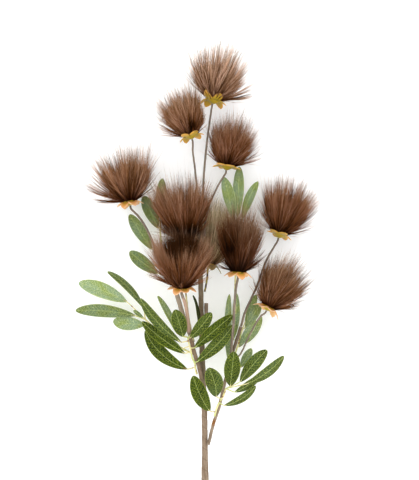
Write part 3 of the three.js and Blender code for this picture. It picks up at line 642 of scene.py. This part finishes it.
# Leafy sprigs
# For each leaf: where its blade starts and ends, its width, how far its middle bows to its right, its turn
# about its length in degrees, how pale it is, and how much light reaches it where that isn't all
sprigs = {
    "farLeftSprig": {
        "node": "sprig_far_left", "slot": "pale_leaves",
        "stalk": [[-14.6, 247, 38.9], [-32, 256, 34], [-50, 268, 29], [-62, 279, 26], [-72, 288, 25]],
        "leaves": [
            ([-94.7, 309.6, 26], [-152.3, 332.4, 20], 19, 1, 10, 1),
            ([-84.6, 292.9, 24], [-156.4, 299, 16], 16, 4, -14, 0.45),
            ([-73, 281.8, 22], [-110.9, 285.4, 12], 17, 0, -8, 0.9),
            ([-74.5, 302.5, 30], [-117.5, 346, 34], 10, 2, 30, 0.3),
            ([-75, 290.6, 28], [-86.4, 299.4, 31], 5, 0, 0, 0.5),
        ],
    },
    "leftFrontSprig": {
        "node": "sprig_left_front", "slot": "leaves",
        "stalk": [
            [-9.8, 222.7, 38.6], [-11.4, 228.8, 40.6], [-12.5, 236.5, 43.8], [-15.6, 243, 44.8],
            [-17.2, 252, 46.4], [-20, 262.6, 48.2], [-20.6, 267.1, 49.6],
        ],
        "leaves": [
            ([-22, 228.8, 43], [-72, 274.8, 36], 17, -7, 0, 0),
            ([-24.5, 248, 47], [-75.6, 285.8, 45], 14, -3, 12, 0),
            ([-29, 261.6, 51], [-77.5, 313.7, 52], 12.5, -3, -12, 0.1),
            ([-26.4, 268.4, 52], [-35.9, 300.8, 74], 18, 0, 6, 0.05),
            ([-34, 271.8, 44], [-56.9, 316.8, 46], 8.5, 0, 30, 0.8),
            ([-17.4, 266.6, 53], [7.8, 297, 61], 15, 1, 0, 0.05),
            ([-12.5, 254.8, 51], [33, 294, 51], 15, -1, 8, 0),
            ([-9.8, 237.6, 48], [33.6, 281.4, 46.5], 16, 3, -6, 0.05),
            ([-8.2, 277, 53.6], [-14.6, 317.6, 51], 9, 0, 68, 0, 0.25),
            ([-28.8, 253.6, 45], [-42, 265.2, 43], 4.5, 0, 0, 0.7),
        ],
    },
    "lowerRightSprig": {
        "node": "sprig_lower_right", "slot": "leaves",
        "stalk": [
            [11.4, 171.7, 32.6], [13.8, 180.5, 33.4], [16.8, 187.6, 34.4], [19.6, 192.4, 35],
            [22.2, 197, 35.8], [25, 205.2, 37.4],
        ],
        "leaves": [
            ([5.4, 178.6, 38], [-14.4, 221.4, 66], 19, -2, 0, 0),
            ([13.4, 196, 40], [4.3, 231, 62], 21, 2, 6, 0.08),
            ([30.5, 208.8, 42], [34.6, 250.6, 66], 19.5, 0, 0, 0.02),
            ([42.5, 213.8, 43], [74.3, 252, 50], 16.5, -1, -8, 0.08),
            ([49.7, 211.2, 45], [94.6, 244.8, 53], 12.5, 3, 8, 0.15),
            ([36, 201.1, 38], [66, 220.8, 37], 10, 1, 16, 0.1),
            ([23.2, 184.8, 36], [61.2, 208.3, 38], 10, 3, 14, 0.1),
        ],
    },
    "upperLeftSprig": {
        "node": "sprig_upper_left", "slot": "leaves",
        "stalk": [[-41.6, 337, 47.1], [-46, 352, 42.6], [-51, 372, 34], [-54, 392, 27], [-54, 406, 24]],
        "leaves": [
            ([-57, 398.4, 22], [-74.4, 436.8, 13], 16.5, 0, 6, 0.45),
            ([-63.6, 372.5, 29], [-91.2, 414.6, 16], 15, 0, -6, 0.5),
            ([-57, 343.6, 37], [-90.7, 370, 28], 16, -1, 6, 0.4),
            ([-53.8, 412, 24], [-51.6, 458, 32], 13, 0, 0, 0.5),
        ],
    },
    "upperRightSprig": {
        "node": "sprig_upper_right", "slot": "leaves",
        "stalk": [
            [35.8, 296, 59.9], [36, 315, 50], [36.5, 345, 43], [37, 374, 40], [37.6, 392, 40], [38, 400, 41],
        ],
        "leaves": [
            ([33.6, 410, 42], [22.4, 459.6, 38], 14.5, 1, 4, 0.75),
            ([38.8, 411, 41], [41.4, 472.2, 16], 13.5, 0, 0, 0.75),
            ([44.8, 409, 40], [63.6, 454.2, 34], 11.5, -1, -14, 0.6),
        ],
    },
    "rightBackSprig": {
        "node": "sprig_right_back", "slot": "pale_leaves",
        "stalk": [[29.5, 231, 31.9], [34, 241, 27.6], [40, 258, 24], [45, 276, 22.6]],
        "leaves": [
            ([27.8, 239.4, 27], [29.2, 318.6, 30], 9, -2, 10, 0.8),
            ([34.4, 264, 25], [37.7, 320.2, 32], 9.5, 2, -10, 0.8),
            ([48.4, 285, 20], [61.9, 318, 17], 9, 0, 10, 0.9),
            ([48.4, 278, 24], [67.1, 307.7, 20], 12, 1, -10, 0.8),
            ([41.4, 254.8, 22], [61.2, 287.2, 26], 10, 0, -8, 0.9),
            ([50.9, 259.9, 20], [68.2, 291.6, 18], 9, 1, 6, 0.9),
            ([43.2, 230.4, 24], [56, 253.2, 28], 10.5, 0, 0, 0.7),
        ],
    },
}
blade = {
    "across": 10,
    "along": 24,
    "thickness": 0.8,
    "arch": 0.07,  # of its length
    "cup": 0.16,  # of its half width
    "widest": 1.2,  # over 1, the widest place lies nearer to the tip
    "fullness": 0.5,
    "footWidth": 0.12,  # of its full width
    "tipWidth": 0.1,
    "foldSoftness": 0.01,
    "ribHeight": 0.35,
    "ribHalfWidth": 0.5,
    "wave": 0.35,
    "waves": 9,
    "netShift": 37,  # so that no two leaves have the same part of the net
    "spine": (0.05, 0.3, 0.5, 0.7, 0.95),  # points of the line that the fibres keep clear of
    "room": 0.4,  # round that line, of the width
}
stalkLook = {
    "radii": [(0, 1.2), (1, 1)],
    "petioleRadii": [(0, 0.72), (1, 0.576)],
    "underBlade": 0.06,  # share of the blade that its petiole runs on for
}


def leafSpots(leaf, share, across):  # the middle layer of the solid's blade, with a rib and a soft wave
    base, tip, roll = np.array(leaf[0], float), np.array(leaf[1], float), math.radians(leaf[4])
    length = np.linalg.norm(tip - base)
    ahead = unit(tip - base)
    side = unit(np.cross(ahead, up))
    side = side * math.cos(roll) + np.cross(ahead, side) * math.sin(roll)
    middle = 4 * share * (1 - share)
    swell = np.sin(np.pi * np.minimum(share, 1) ** blade["widest"]) ** blade["fullness"]
    half = 0.5 * leaf[2] * np.maximum(swell, np.where(share < 0.5, blade["footWidth"], blade["tipWidth"]))
    rib = blade["ribHeight"] * np.exp(-((half * across / blade["ribHalfWidth"]) ** 2))
    wave = blade["wave"] * np.sin(blade["waves"] * share + 2 * np.sign(across) + leaf[2]) * across**2 * middle
    fold = blade["cup"] * half * np.sqrt(across**2 + blade["foldSoftness"])
    lift = blade["arch"] * length * middle + fold + rib + wave
    spots = base + np.outer(length * share, ahead) + np.outer(half * across + leaf[3] * middle, side)
    return spots + np.outer(lift, np.cross(side, ahead)), half * across, length * share


def growLeaf(sheet, leaf, name):
    piece = copyOf(sheet, name)
    flat = cornersOf(piece)
    even = flat[:, 1] + 0.5
    share = 0.5 * even + 0.5 * (0.5 - 0.5 * np.cos(np.pi * even))  # closer rows towards both ends
    across = 2 * flat[:, 0]
    spots, outMm, alongMm = leafSpots(leaf, share, across)
    moveCorners(piece, spots)
    storeUv(piece, np.stack([outMm, alongMm + blade["netShift"] * leaf[2]], axis=1))
    storeMarks(piece, across, share, *(*leaf, 1)[5:7])
    piece.data.materials.append(leafTop)
    piece.data.materials.append(leafUnder)
    applyModifier(piece, "SOLIDIFY", thickness=blade["thickness"], offset=0, material_offset=1)
    return piece


leafSheet = flatSheet(blade["across"], blade["along"])
for name, plan in sprigs.items():
    parts = [rollTube(name, plan["stalk"], stalkLook["radii"], tubeKinds["stalk"])]
    stalkLine = smoothRoute(plan["stalk"], 3 * tubeKinds["stalk"]["steps"])[0]
    keepLine(stalkLine[::3], stalkLook["radii"][0][1])
    for number, leaf in enumerate(plan["leaves"]):
        parts.append(growLeaf(leafSheet, leaf, f"{name}Leaf{number}"))
        foot = leafSpots(leaf, np.array([0, stalkLook["underBlade"]]), np.zeros(2))[0]
        start = stalkLine[np.argmin(np.linalg.norm(stalkLine - foot[0], axis=1))]
        petiole = f"{name}Petiole{number}"
        parts.append(rollTube(petiole, [start, *foot], stalkLook["petioleRadii"], tubeKinds["petiole"]))
        spine = leafSpots(leaf, np.array(blade["spine"]), np.zeros(len(blade["spine"])))[0]
        keepLine(spine, blade["room"] * leaf[2])
    whole = joinAll(parts, name)
    dress(whole, cornersOf(whole), plan["node"])
bpy.data.objects.remove(leafSheet)
print("sprigs ready,", len(sprigs))

# Calyxes
sepalLook = {
    "count": 6,
    "sepals": "mouldedSepal",
    "length": 12.5,
    "lengths": (0.85, 1.1),
    "halfWidth": 5.8,
    "rootWidth": 0.62,
    "widest": 0.42,  # share of the length
    "tipShape": (2.6, 0.65),
    "root": 0.45,  # where a sepal starts, of the rim's radius
    "belowRim": 2,
    "droops": (1.5, 9),  # how far they hang
    "front": 0.4,  # a sepal that points up by more than this can stand up in front of the fibres
    "turn": 0.25,
    "thickness": 0.7,
    "curl": 0.22,
    "flick": 1.2,  # how far points bend up or down with their tone
    "evenTone": 0.4,
    "toneSteps": (0.35, 0.13),  # from sepal to sepal and from head to head
    "seed": 20,
    "across": 6,
    "along": 9,
}


def modelCup():  # drawn up from its foot, then hollowed for the fibres
    bpy.ops.mesh.primitive_circle_add(vertices=cup["sides"], radius=cup["footRadius"], fill_type="NGON")
    piece = bpy.context.active_object
    editAll(piece)
    height, radius = 0, cup["footRadius"]
    for below, wide in ((cup["shoulderBelow"], cup["shoulder"]), (cup["gap"], cup["rim"])):
        rise = cup["height"] - below - height
        height += rise
        bpy.ops.mesh.extrude_region_move(TRANSFORM_OT_translate={"value": (0, 0, rise)})
        bpy.ops.transform.resize(value=(wide / radius, wide / radius, 1), center_override=(0, 0, height))
        radius = wide
    bpy.ops.mesh.inset(thickness=cup["wall"])
    bpy.ops.mesh.extrude_region_move(TRANSFORM_OT_translate={"value": (0, 0, -cup["hollow"])})
    closeSkin()
    applyModifier(piece, "BEVEL", width=cup["bevel"], segments=2)
    x, y, z = cornersOf(piece).T
    moveCorners(piece, np.stack([x, z - cup["height"], -y], axis=1))
    storeMarks(piece, 0 * z, cup["shading"][0] + cup["shading"][1] * z, sepalLook["evenTone"])
    piece.data.materials.append(sepalFinishes["mouldedSepal"])
    return piece


def growSepal(sheet, turn, droop, length, tone, finish):
    look = sepalLook
    piece = copyOf(sheet, "sepal")
    flat = cornersOf(piece)
    share, across = flat[:, 1] + 0.5, 2 * flat[:, 0]
    opening = np.clip(share / look["widest"], 0, 1)
    closing = np.clip((share - look["widest"]) / (1 - look["widest"]), 0, 1)
    late, blunt = look["tipShape"]
    width = between((look["rootWidth"], 1), np.sin(opening * np.pi / 2)) * (1 - closing**late) ** blunt
    half = look["halfWidth"] * width
    outward = np.array([math.cos(turn), 0, math.sin(turn)])
    sideways = np.array([-math.sin(turn), 0, math.cos(turn)])
    reach = cup["rim"] * look["root"] + length * share
    fold = look["curl"] * half * across**2 * (1 - 0.5 * share)
    flick = look["flick"] * (tone - look["evenTone"]) * share**3
    height = -look["belowRim"] - droop * share**2 + fold + flick
    spots = np.outer(reach, outward) + np.outer(half * across, sideways) + np.outer(height, [0, 1, 0])
    moveCorners(piece, spots)
    storeMarks(piece, across, share, tone)
    piece.data.materials.append(finish)
    piece.data.materials.append(sepalFinishes["sepalUnderside"] if finish.name == "peachSepal" else finish)
    applyModifier(piece, "SOLIDIFY", thickness=look["thickness"], offset=0, material_offset=1)
    return piece


cupTemplate = modelCup()
sepalSheet = flatSheet(sepalLook["across"], sepalLook["along"])
for order, head in enumerate(heads):
    draw = drawFrom(sepalLook["seed"] + order)
    finish = sepalFinishes[head.get("sepals", sepalLook["sepals"])]
    parts = [copyOf(cupTemplate, head["name"] + "Calyx")]
    for i in range(sepalLook["count"]):
        turn = 2 * math.pi * (i + sepalLook["turn"] * next(draw)) / sepalLook["count"]
        droop = between(head.get("droops", sepalLook["droops"]), next(draw))
        if "risen" in head and math.sin(turn) > sepalLook["front"]:
            droop = -head["risen"]
        length = sepalLook["length"] * between(sepalLook["lengths"], next(draw))
        tone = (sepalLook["toneSteps"][0] * i + sepalLook["toneSteps"][1] * order) % 1
        parts.append(growSepal(sepalSheet, turn, droop, length, tone, finish))
    whole = joinAll(parts, head["name"] + "Calyx")
    dress(whole, onHead(head, cornersOf(whole)), "calyx_" + head["name"])
bpy.data.objects.remove(cupTemplate)
bpy.data.objects.remove(sepalSheet)
print("calyxes ready,", len(heads))

# Tufts: thin locks of straight fibre that fan out from the calyx, single wisps, and an inner bundle painted
# near black as shade
tuftLook = {
    "seed": 7,
    "dye": "brown",
    "locks": 1350,
    "fibres": 4,  # in a lock or stray
    "wisps": 1900,
    "strays": [],  # the ends of single strands
    "strayCopies": 5,  # of each stray, this far apart
    "strayApart": 2.4,
    "lobes": [],  # the middles of clumps that stand off the rest
    "lobeLocks": 60,  # in each lobe, this far apart
    "lobeApart": 6,
    "cut": 0.55,  # where a fibre can bend
    "radius": 0.19,
    "taper": 0.45,
    "gather": 0.5,  # a higher one draws the fibres in towards the axis
    "turnNoise": 0.1,
    "domeShare": 0.96,  # of the locks end on the domed top, and the others round the side
    "rimDrop": 0.34,  # how much lower the tuft ends at its rim
    "strayWider": 1.1,
    "lowest": 0.2,
    "rootRadius": 8,
    "rootGather": 0.8,
    "rootApart": 0.6,
    "lengths": (0.7, 1.18),  # the shortest and the longest
    "thinning": 2.4,  # a higher one leaves fewer long fibres
    "ragged": 0.2,  # how much shorter than its lock a fibre can be
    "raggedness": 1.5,  # over 1, few fibres are much shorter
    "bulge": (0.56, 0.44),  # how far out and how far up a fibre's bend lies, of its end
    "lockWidth": 0.42,
    "splay": 2.6,  # how much further apart a lock's fibres end than they bend
    "splayLimit": 1.8,
    "jitter": 2.6,  # how far a lock's end strays from its even place
    "drift": 2.4,  # and how far whole clumps do
    "driftWaves": 0.12,
    "wispSpread": 3.4,
    "wispThickness": 1.3,
    "patchWaves": 0.09,
    "tones": (0.02, 0.22, 0.62, 0.3),  # the darkest, and what patches, locks and single fibres add to it
    "toneShape": (0.5, 0.7),
    "inner": (0.25, 0.62, 300),  # width, height and fibres of the bundle in its middle, painted dark as shade
    "innerDome": 0.12,
    "innerFoot": 5,
    "innerPaintedShadeTone": 0.06,
    "innerThickness": 2,
    "pips": [],  # hollows, with painted shade in them: across, along and size
    "pipRadius": 6,
    "pipDepth": 0.8,
    "pipSteps": (0.75, 0.87, 1),  # shares of a fibre that are looked at
    "proud": (13, 22, 9),  # of the solids' outermost points, along each axis
    "floorGap": 0.2,
}
room = {
    "calyx": (-6, -0.3, 17.5),  # two points of a head's axis, and the radius that others keep clear of there
    "core": (0.28, 0.5, 0.62),  # the same, as shares of its reach and its spread
    "middle": (8, 0.75),  # from this height to this share of the reach, neighbours share what is between them
    "clearance": 1.6,
    "apart": 0.6,  # from the plane between two neighbours
    "nearby": 25,  # what starts further off than this past a head's reach isn't looked at
    "lever": 0.3,  # a lock that is touched nearer to its root than this share bends as if touched there
    "overFloor": 0.4,
    "passes": 8,
}


def modelFibre():  # a thin spike with three sides, cut across so that it can bend
    bpy.ops.mesh.primitive_cone_add(vertices=3, radius1=1, radius2=0, depth=1, location=(0, 0, 0.5))
    piece = bpy.context.active_object
    bpy.ops.object.transform_apply(location=True)
    editAll(piece)
    bpy.ops.mesh.bisect(plane_co=(0, 0, tuftLook["cut"]), plane_no=(0, 0, 1))
    bpy.ops.mesh.select_all(action="SELECT")
    bpy.ops.mesh.quads_convert_to_tris()
    bpy.ops.object.mode_set(mode="OBJECT")
    return piece


def nearestShares(startA, endA, startB, endB):  # along rows of segments A and one segment B
    aheadA, aheadB, apart = endA - startA, endB - startB, startA - startB
    aa, bb, ab = (aheadA**2).sum(1), aheadB @ aheadB, aheadA @ aheadB
    flat = np.maximum(aa * bb - ab * ab, 1e-9)
    onA = np.clip((ab * (apart @ aheadB) - bb * (aheadA * apart).sum(1)) / flat, 0, 1)
    onB = np.clip((ab * onA + apart @ aheadB) / bb, 0, 1)
    return np.clip((ab * onB - (aheadA * apart).sum(1)) / aa, 0, 1), onB


def middleOf(head):
    return alongHead(head, room["middle"][0]), alongHead(head, room["middle"][1] * head["reach"])


def keepClear(head, roots, tips):  # bends the locks off stems, leaves and other heads, and off the floor
    near = [line for line in lines if np.linalg.norm(line[0] - head["base"]) < head["reach"] + room["nearby"]]
    ownStart, ownEnd = middleOf(head)
    planes = []
    for other in heads:
        if other is head:
            continue
        low, high, radius = room["calyx"]
        near.append((alongHead(other, low), alongHead(other, high), radius))
        low, high, radius = room["core"]
        ends = alongHead(other, low * other["reach"]), alongHead(other, high * other["reach"])
        near.append((*ends, radius * other["spread"]))
        if (head["name"], other["name"]) in overlapping:
            continue
        start, end = middleOf(other)
        onOwn, onOther = nearestShares(ownStart[None], ownEnd[None], start, end)
        here = ownStart + (ownEnd - ownStart) * onOwn[0]
        there = start + (end - start) * onOther[0]
        share = head["spread"] / (head["spread"] + other["spread"])
        planes.append((here + (there - here) * share, unit(there - here)))
    for _ in range(room["passes"]):
        for start, end, radius in near:
            onLock, onLine = nearestShares(roots, tips, start, end)
            away = roots + (tips - roots) * onLock[:, None] - (start + np.outer(onLine, end - start))
            gap = np.linalg.norm(away, axis=1)
            lack = np.maximum(radius + room["clearance"] - gap, 0) / np.maximum(onLock, room["lever"])
            tips = tips + away / np.maximum(gap, 1e-6)[:, None] * lack[:, None]
        for point, normal in planes:
            tips = tips - np.outer(np.maximum((tips - point) @ normal + room["apart"], 0), normal)
        tips[:, 2] = np.maximum(tips[:, 2], room["overFloor"])
    return tips


def bendLocks(head, look, rng):  # root, bend and end of each lock, and how much of its way it goes
    index = np.arange(look["locks"])
    share = (index + rng.random(len(index))) / look["locks"]
    turn = index * goldenAngle + rng.normal(0, look["turnNoise"], len(index))
    side = np.clip((share - look["domeShare"]) / (1 - look["domeShare"]), 0, 1)
    rim = np.minimum(share / look["domeShare"], 1) ** look["gather"]
    radius = head["spread"] * rim * between((1, look["strayWider"]), side)
    height = head["reach"] * between((1 - look["rimDrop"] * rim**2, look["lowest"]), side)
    ring = ringOf(turn)
    roots = onHead(head, ring * (look["rootRadius"] * rim ** look["rootGather"])[:, None])
    tips = onHead(head, ring * radius[:, None] + np.outer(height, [0, 1, 0]))
    tips = tips + rng.normal(0, look["jitter"], tips.shape)
    tips = tips + look["drift"] * np.sin(tips @ rng.normal(0, look["driftWaves"], (3, 3)) + 6 * rng.random(3))
    reached = between(look["lengths"], rng.random(len(index)) ** look["thinning"])
    for x, y, size in look["pips"]:  # hollows, where short locks let one look in
        for step in look["pipSteps"]:
            spot = roots + (tips - roots) * step
            inside = np.hypot(spot[:, 0] - x, spot[:, 1] - y) < size * look["pipRadius"]
            inside &= tips[:, 2] > head["base"][2]
            reached = np.where(inside, np.minimum(reached, look["pipDepth"] * step), reached)

    strays = np.repeat(np.reshape(look["strays"], (-1, 3)), look["strayCopies"], axis=0)
    strays = strays + rng.normal(0, look["strayApart"], strays.shape)
    lobes = np.repeat(np.reshape(look["lobes"], (-1, 3)), look["lobeLocks"], axis=0)
    strays = np.vstack([strays, lobes + rng.normal(0, look["lobeApart"], lobes.shape)])
    out = unit(strays - head["base"]) @ turnOf(head)
    roots = np.vstack([roots, onHead(head, unit(out * [1, 0, 1]) * look["rootRadius"])])
    tips = keepClear(head, roots, np.vstack([tips, strays]))
    reached = np.concatenate([reached, np.ones(len(strays))])
    axis = axisOf(head)
    chord = tips - roots
    climb = np.outer(chord @ axis, axis)
    bends = roots + (chord - climb) * look["bulge"][0] + climb * look["bulge"][1]
    return roots, bends, tips, reached


def innerBundle(head, look, rng):  # fibres near the axis, painted near black as shade, so that one doesn't see through the tuft
    wide, tall, count = look["inner"]
    spin, out = rng.random(count) * 2 * np.pi, np.sqrt(rng.random(count))
    ring = ringOf(spin) * out[:, None]
    height = head["reach"] * (tall - look["innerDome"] * out**2)
    roots = onHead(head, ring * look["innerFoot"])
    tips = onHead(head, ring * wide * head["spread"] + np.outer(height, [0, 1, 0]))
    return roots, (roots + tips) / 2 + rng.normal(0, 1, (count, 3)), tips


def growTuft(spike, head, order):
    look = {**tuftLook, **head}
    rng = np.random.default_rng(look["seed"] + order)
    roots, bends, tips, reached = bendLocks(head, look, rng)
    rows = np.repeat(np.arange(len(roots)), look["fibres"])
    rows = np.concatenate([rows, rng.integers(0, look["locks"], look["wisps"])])
    count = len(rows)
    inLock = np.arange(count) < count - look["wisps"]
    loose = np.where(inLock, look["lockWidth"], look["wispSpread"])[:, None]
    thick = np.where(inLock, 1, look["wispThickness"])
    roots = roots[rows] + rng.normal(0, look["rootApart"], (count, 3))
    roots = roots - np.outer(rng.random(count) * look["rootApart"], axisOf(head))
    bends = bends[rows] + rng.normal(0, 1, (count, 3)) * loose
    cut = reached[rows] * (1 - look["ragged"] * rng.random(count) ** look["raggedness"])
    patches = np.cos(tips @ rng.normal(0, look["patchWaves"], (3, 4)) + 6 * rng.random(4)).mean(axis=1)
    darkest, byPatch, byLock, byFibre = look["tones"]
    tones = (darkest + byPatch * patches + byLock * rng.beta(*look["toneShape"], len(reached)))[rows]
    tones = np.clip(tones + byFibre * rng.random(count), 0, 1)
    tones[-look["wisps"] :] = rng.beta(*look["toneShape"], look["wisps"])
    limit = look["splayLimit"]
    tips = tips[rows] + look["splay"] * np.clip(rng.normal(0, 1, (count, 3)), -limit, limit) * loose

    inner = innerBundle(head, look, rng)
    extra = len(inner[0])
    roots, bends, tips = (np.vstack(both) for both in zip((roots, bends, tips), inner))
    cut = np.concatenate([cut, np.ones(extra)])
    # painted shade: the inner fibres get a near black tone
    tones = np.concatenate([tones, look["innerPaintedShadeTone"] * rng.random(extra)])
    thick = np.concatenate([thick, np.full(extra, look["innerThickness"])]) * look["radius"]
    count += extra

    full = cut[:, None]  # a fibre that would run far past the solids is shorter
    run = 2 * full * (1 - full) * (bends - roots) + full**2 * (tips - roots)
    limits = (1000 * np.array([list(v) for v in cadBox]) - planOrigin) + np.outer([-1, 1], look["proud"])
    free = np.abs(np.where(run > 0, limits[1], limits[0]) - roots)
    cut = cut * np.minimum((free / np.maximum(np.abs(run), 0.001)).min(axis=1), 1)

    local = cornersOf(spike)
    heights = local[:, 2]
    faces = np.array([face.vertices[:] for face in spike.data.polygons])
    spread = np.linalg.norm(local[:, :2], axis=1)
    ringed = local[:, :2] / np.maximum(spread, 1e-6)[:, None] * (spread > 1e-5)[:, None]
    t = (cut[:, None] * heights)[:, :, None]
    path = (1 - t) ** 2 * roots[:, None] + 2 * t * (1 - t) * bends[:, None] + t**2 * tips[:, None]
    ahead = unit(tips - roots)
    crosswise = unit(np.cross(ahead, rng.normal(0, 1, (count, 3))))
    upright = np.cross(ahead, crosswise)
    taper = (1 - look["taper"] * heights)[None, :] * thick[:, None]
    offset = ringed[None, :, :1] * crosswise[:, None] + ringed[None, :, 1:] * upright[:, None]
    spots = (path + offset * taper[:, :, None]).reshape(-1, 3)
    spots[:, 2] = np.maximum(spots[:, 2], look["floorGap"])
    starts = np.arange(count)[:, None, None] * len(local)
    mesh = bpy.data.meshes.new(head["name"] + "Tuft")
    mesh.from_pydata(spots.tolist(), [], (faces[None] + starts).reshape(-1, 3).tolist())
    piece = bpy.data.objects.new(head["name"] + "Tuft", mesh)
    bpy.context.collection.objects.link(piece)
    along = (cut[:, None] * heights).ravel()
    tones = np.repeat(tones, len(local))
    # painted shade: near a hollow's middle the fibres turn near black and take the colour of their root
    for x, y, size in look["pips"]:
        near = np.hypot(spots[:, 0] - x, spots[:, 1] - y) / (size * look["pipRadius"])
        tones = tones * np.clip(near**3, 0, 1)
        along = along * np.clip(near, 0, 1)
    storeUv(piece, np.stack([tones, along], axis=1))
    mesh.materials.append(fibreFinishes[look["dye"]])
    dress(piece, spots, "tuft_" + head["name"])
    return len(mesh.polygons)


spikeTemplate = modelFibre()
triangles = [growTuft(spikeTemplate, head, order) for order, head in enumerate(heads)]
bpy.data.objects.remove(spikeTemplate)
print("tufts ready, triangles in each:", triangles)

# Stage, light and camera
stage = {
    "floorSize": 12,
    "floorBelow": 0.0005,
    "floorGlow": 0.1,
    "sky": 1.5,
    "keySize": 3.4,
    "keyPower": 24,
    "keyPlace": (-0.7, 0.7, 2.6),
    "viewCentre": (0.0162, 0.073),  # over the middle of the picture
    "viewHeight": 0.576,  # the picture's height at the spray's middle layer
    "middleLayer": 0.05,
    "distance": 4.5,
}
bpy.ops.mesh.primitive_plane_add(size=stage["floorSize"], location=(0, 0, -stage["floorBelow"]))
floor = bpy.context.active_object
floor.name = "floor"
# White paper on a light table, which keeps the shade under the spray faint
paperValues = {"Roughness": 0.9, "Specular IOR Level": 0.1, "Emission Strength": stage["floorGlow"]}
floorPaint, addToFloor, floorShader = newMaterial("floorPaper", paperValues)
floorPlace = addToFloor("TexCoord").node.outputs["Object"]
grain = addToFloor("TexNoise", {"Vector": floorPlace, "Scale": 3})
paper = addToFloor("Mix", {0: grain, 6: "#fafaf9", 7: "#ffffff"}, 2, **mixColours)
fill(floorShader, {"Base Color": paper, "Emission Color": paper})
floor.data.materials.append(floorPaint)

world = bpy.data.worlds.new("softRoom")
world.use_nodes = True
fill(world.node_tree.nodes["Background"], {0: "#fdfeff", 1: stage["sky"]})
bpy.context.scene.world = world
bpy.ops.object.light_add(type="AREA", location=stage["keyPlace"])
key = bpy.context.active_object
key.data.size = stage["keySize"]
key.data.energy = stage["keyPower"]
key.rotation_euler = (-Vector(stage["keyPlace"])).to_track_quat("-Z", "Y").to_euler()

x, y = stage["viewCentre"]
bpy.ops.object.camera_add(location=(x, y, stage["middleLayer"] + stage["distance"]), rotation=(0, 0, 0))
camera = bpy.context.active_object
camera.data.lens = camera.data.sensor_width * stage["distance"] / stage["viewHeight"]
camera.data.clip_end = 100
bpy.context.scene.camera = camera
bpy.context.scene.view_settings.view_transform = "Standard"
print("stage ready")
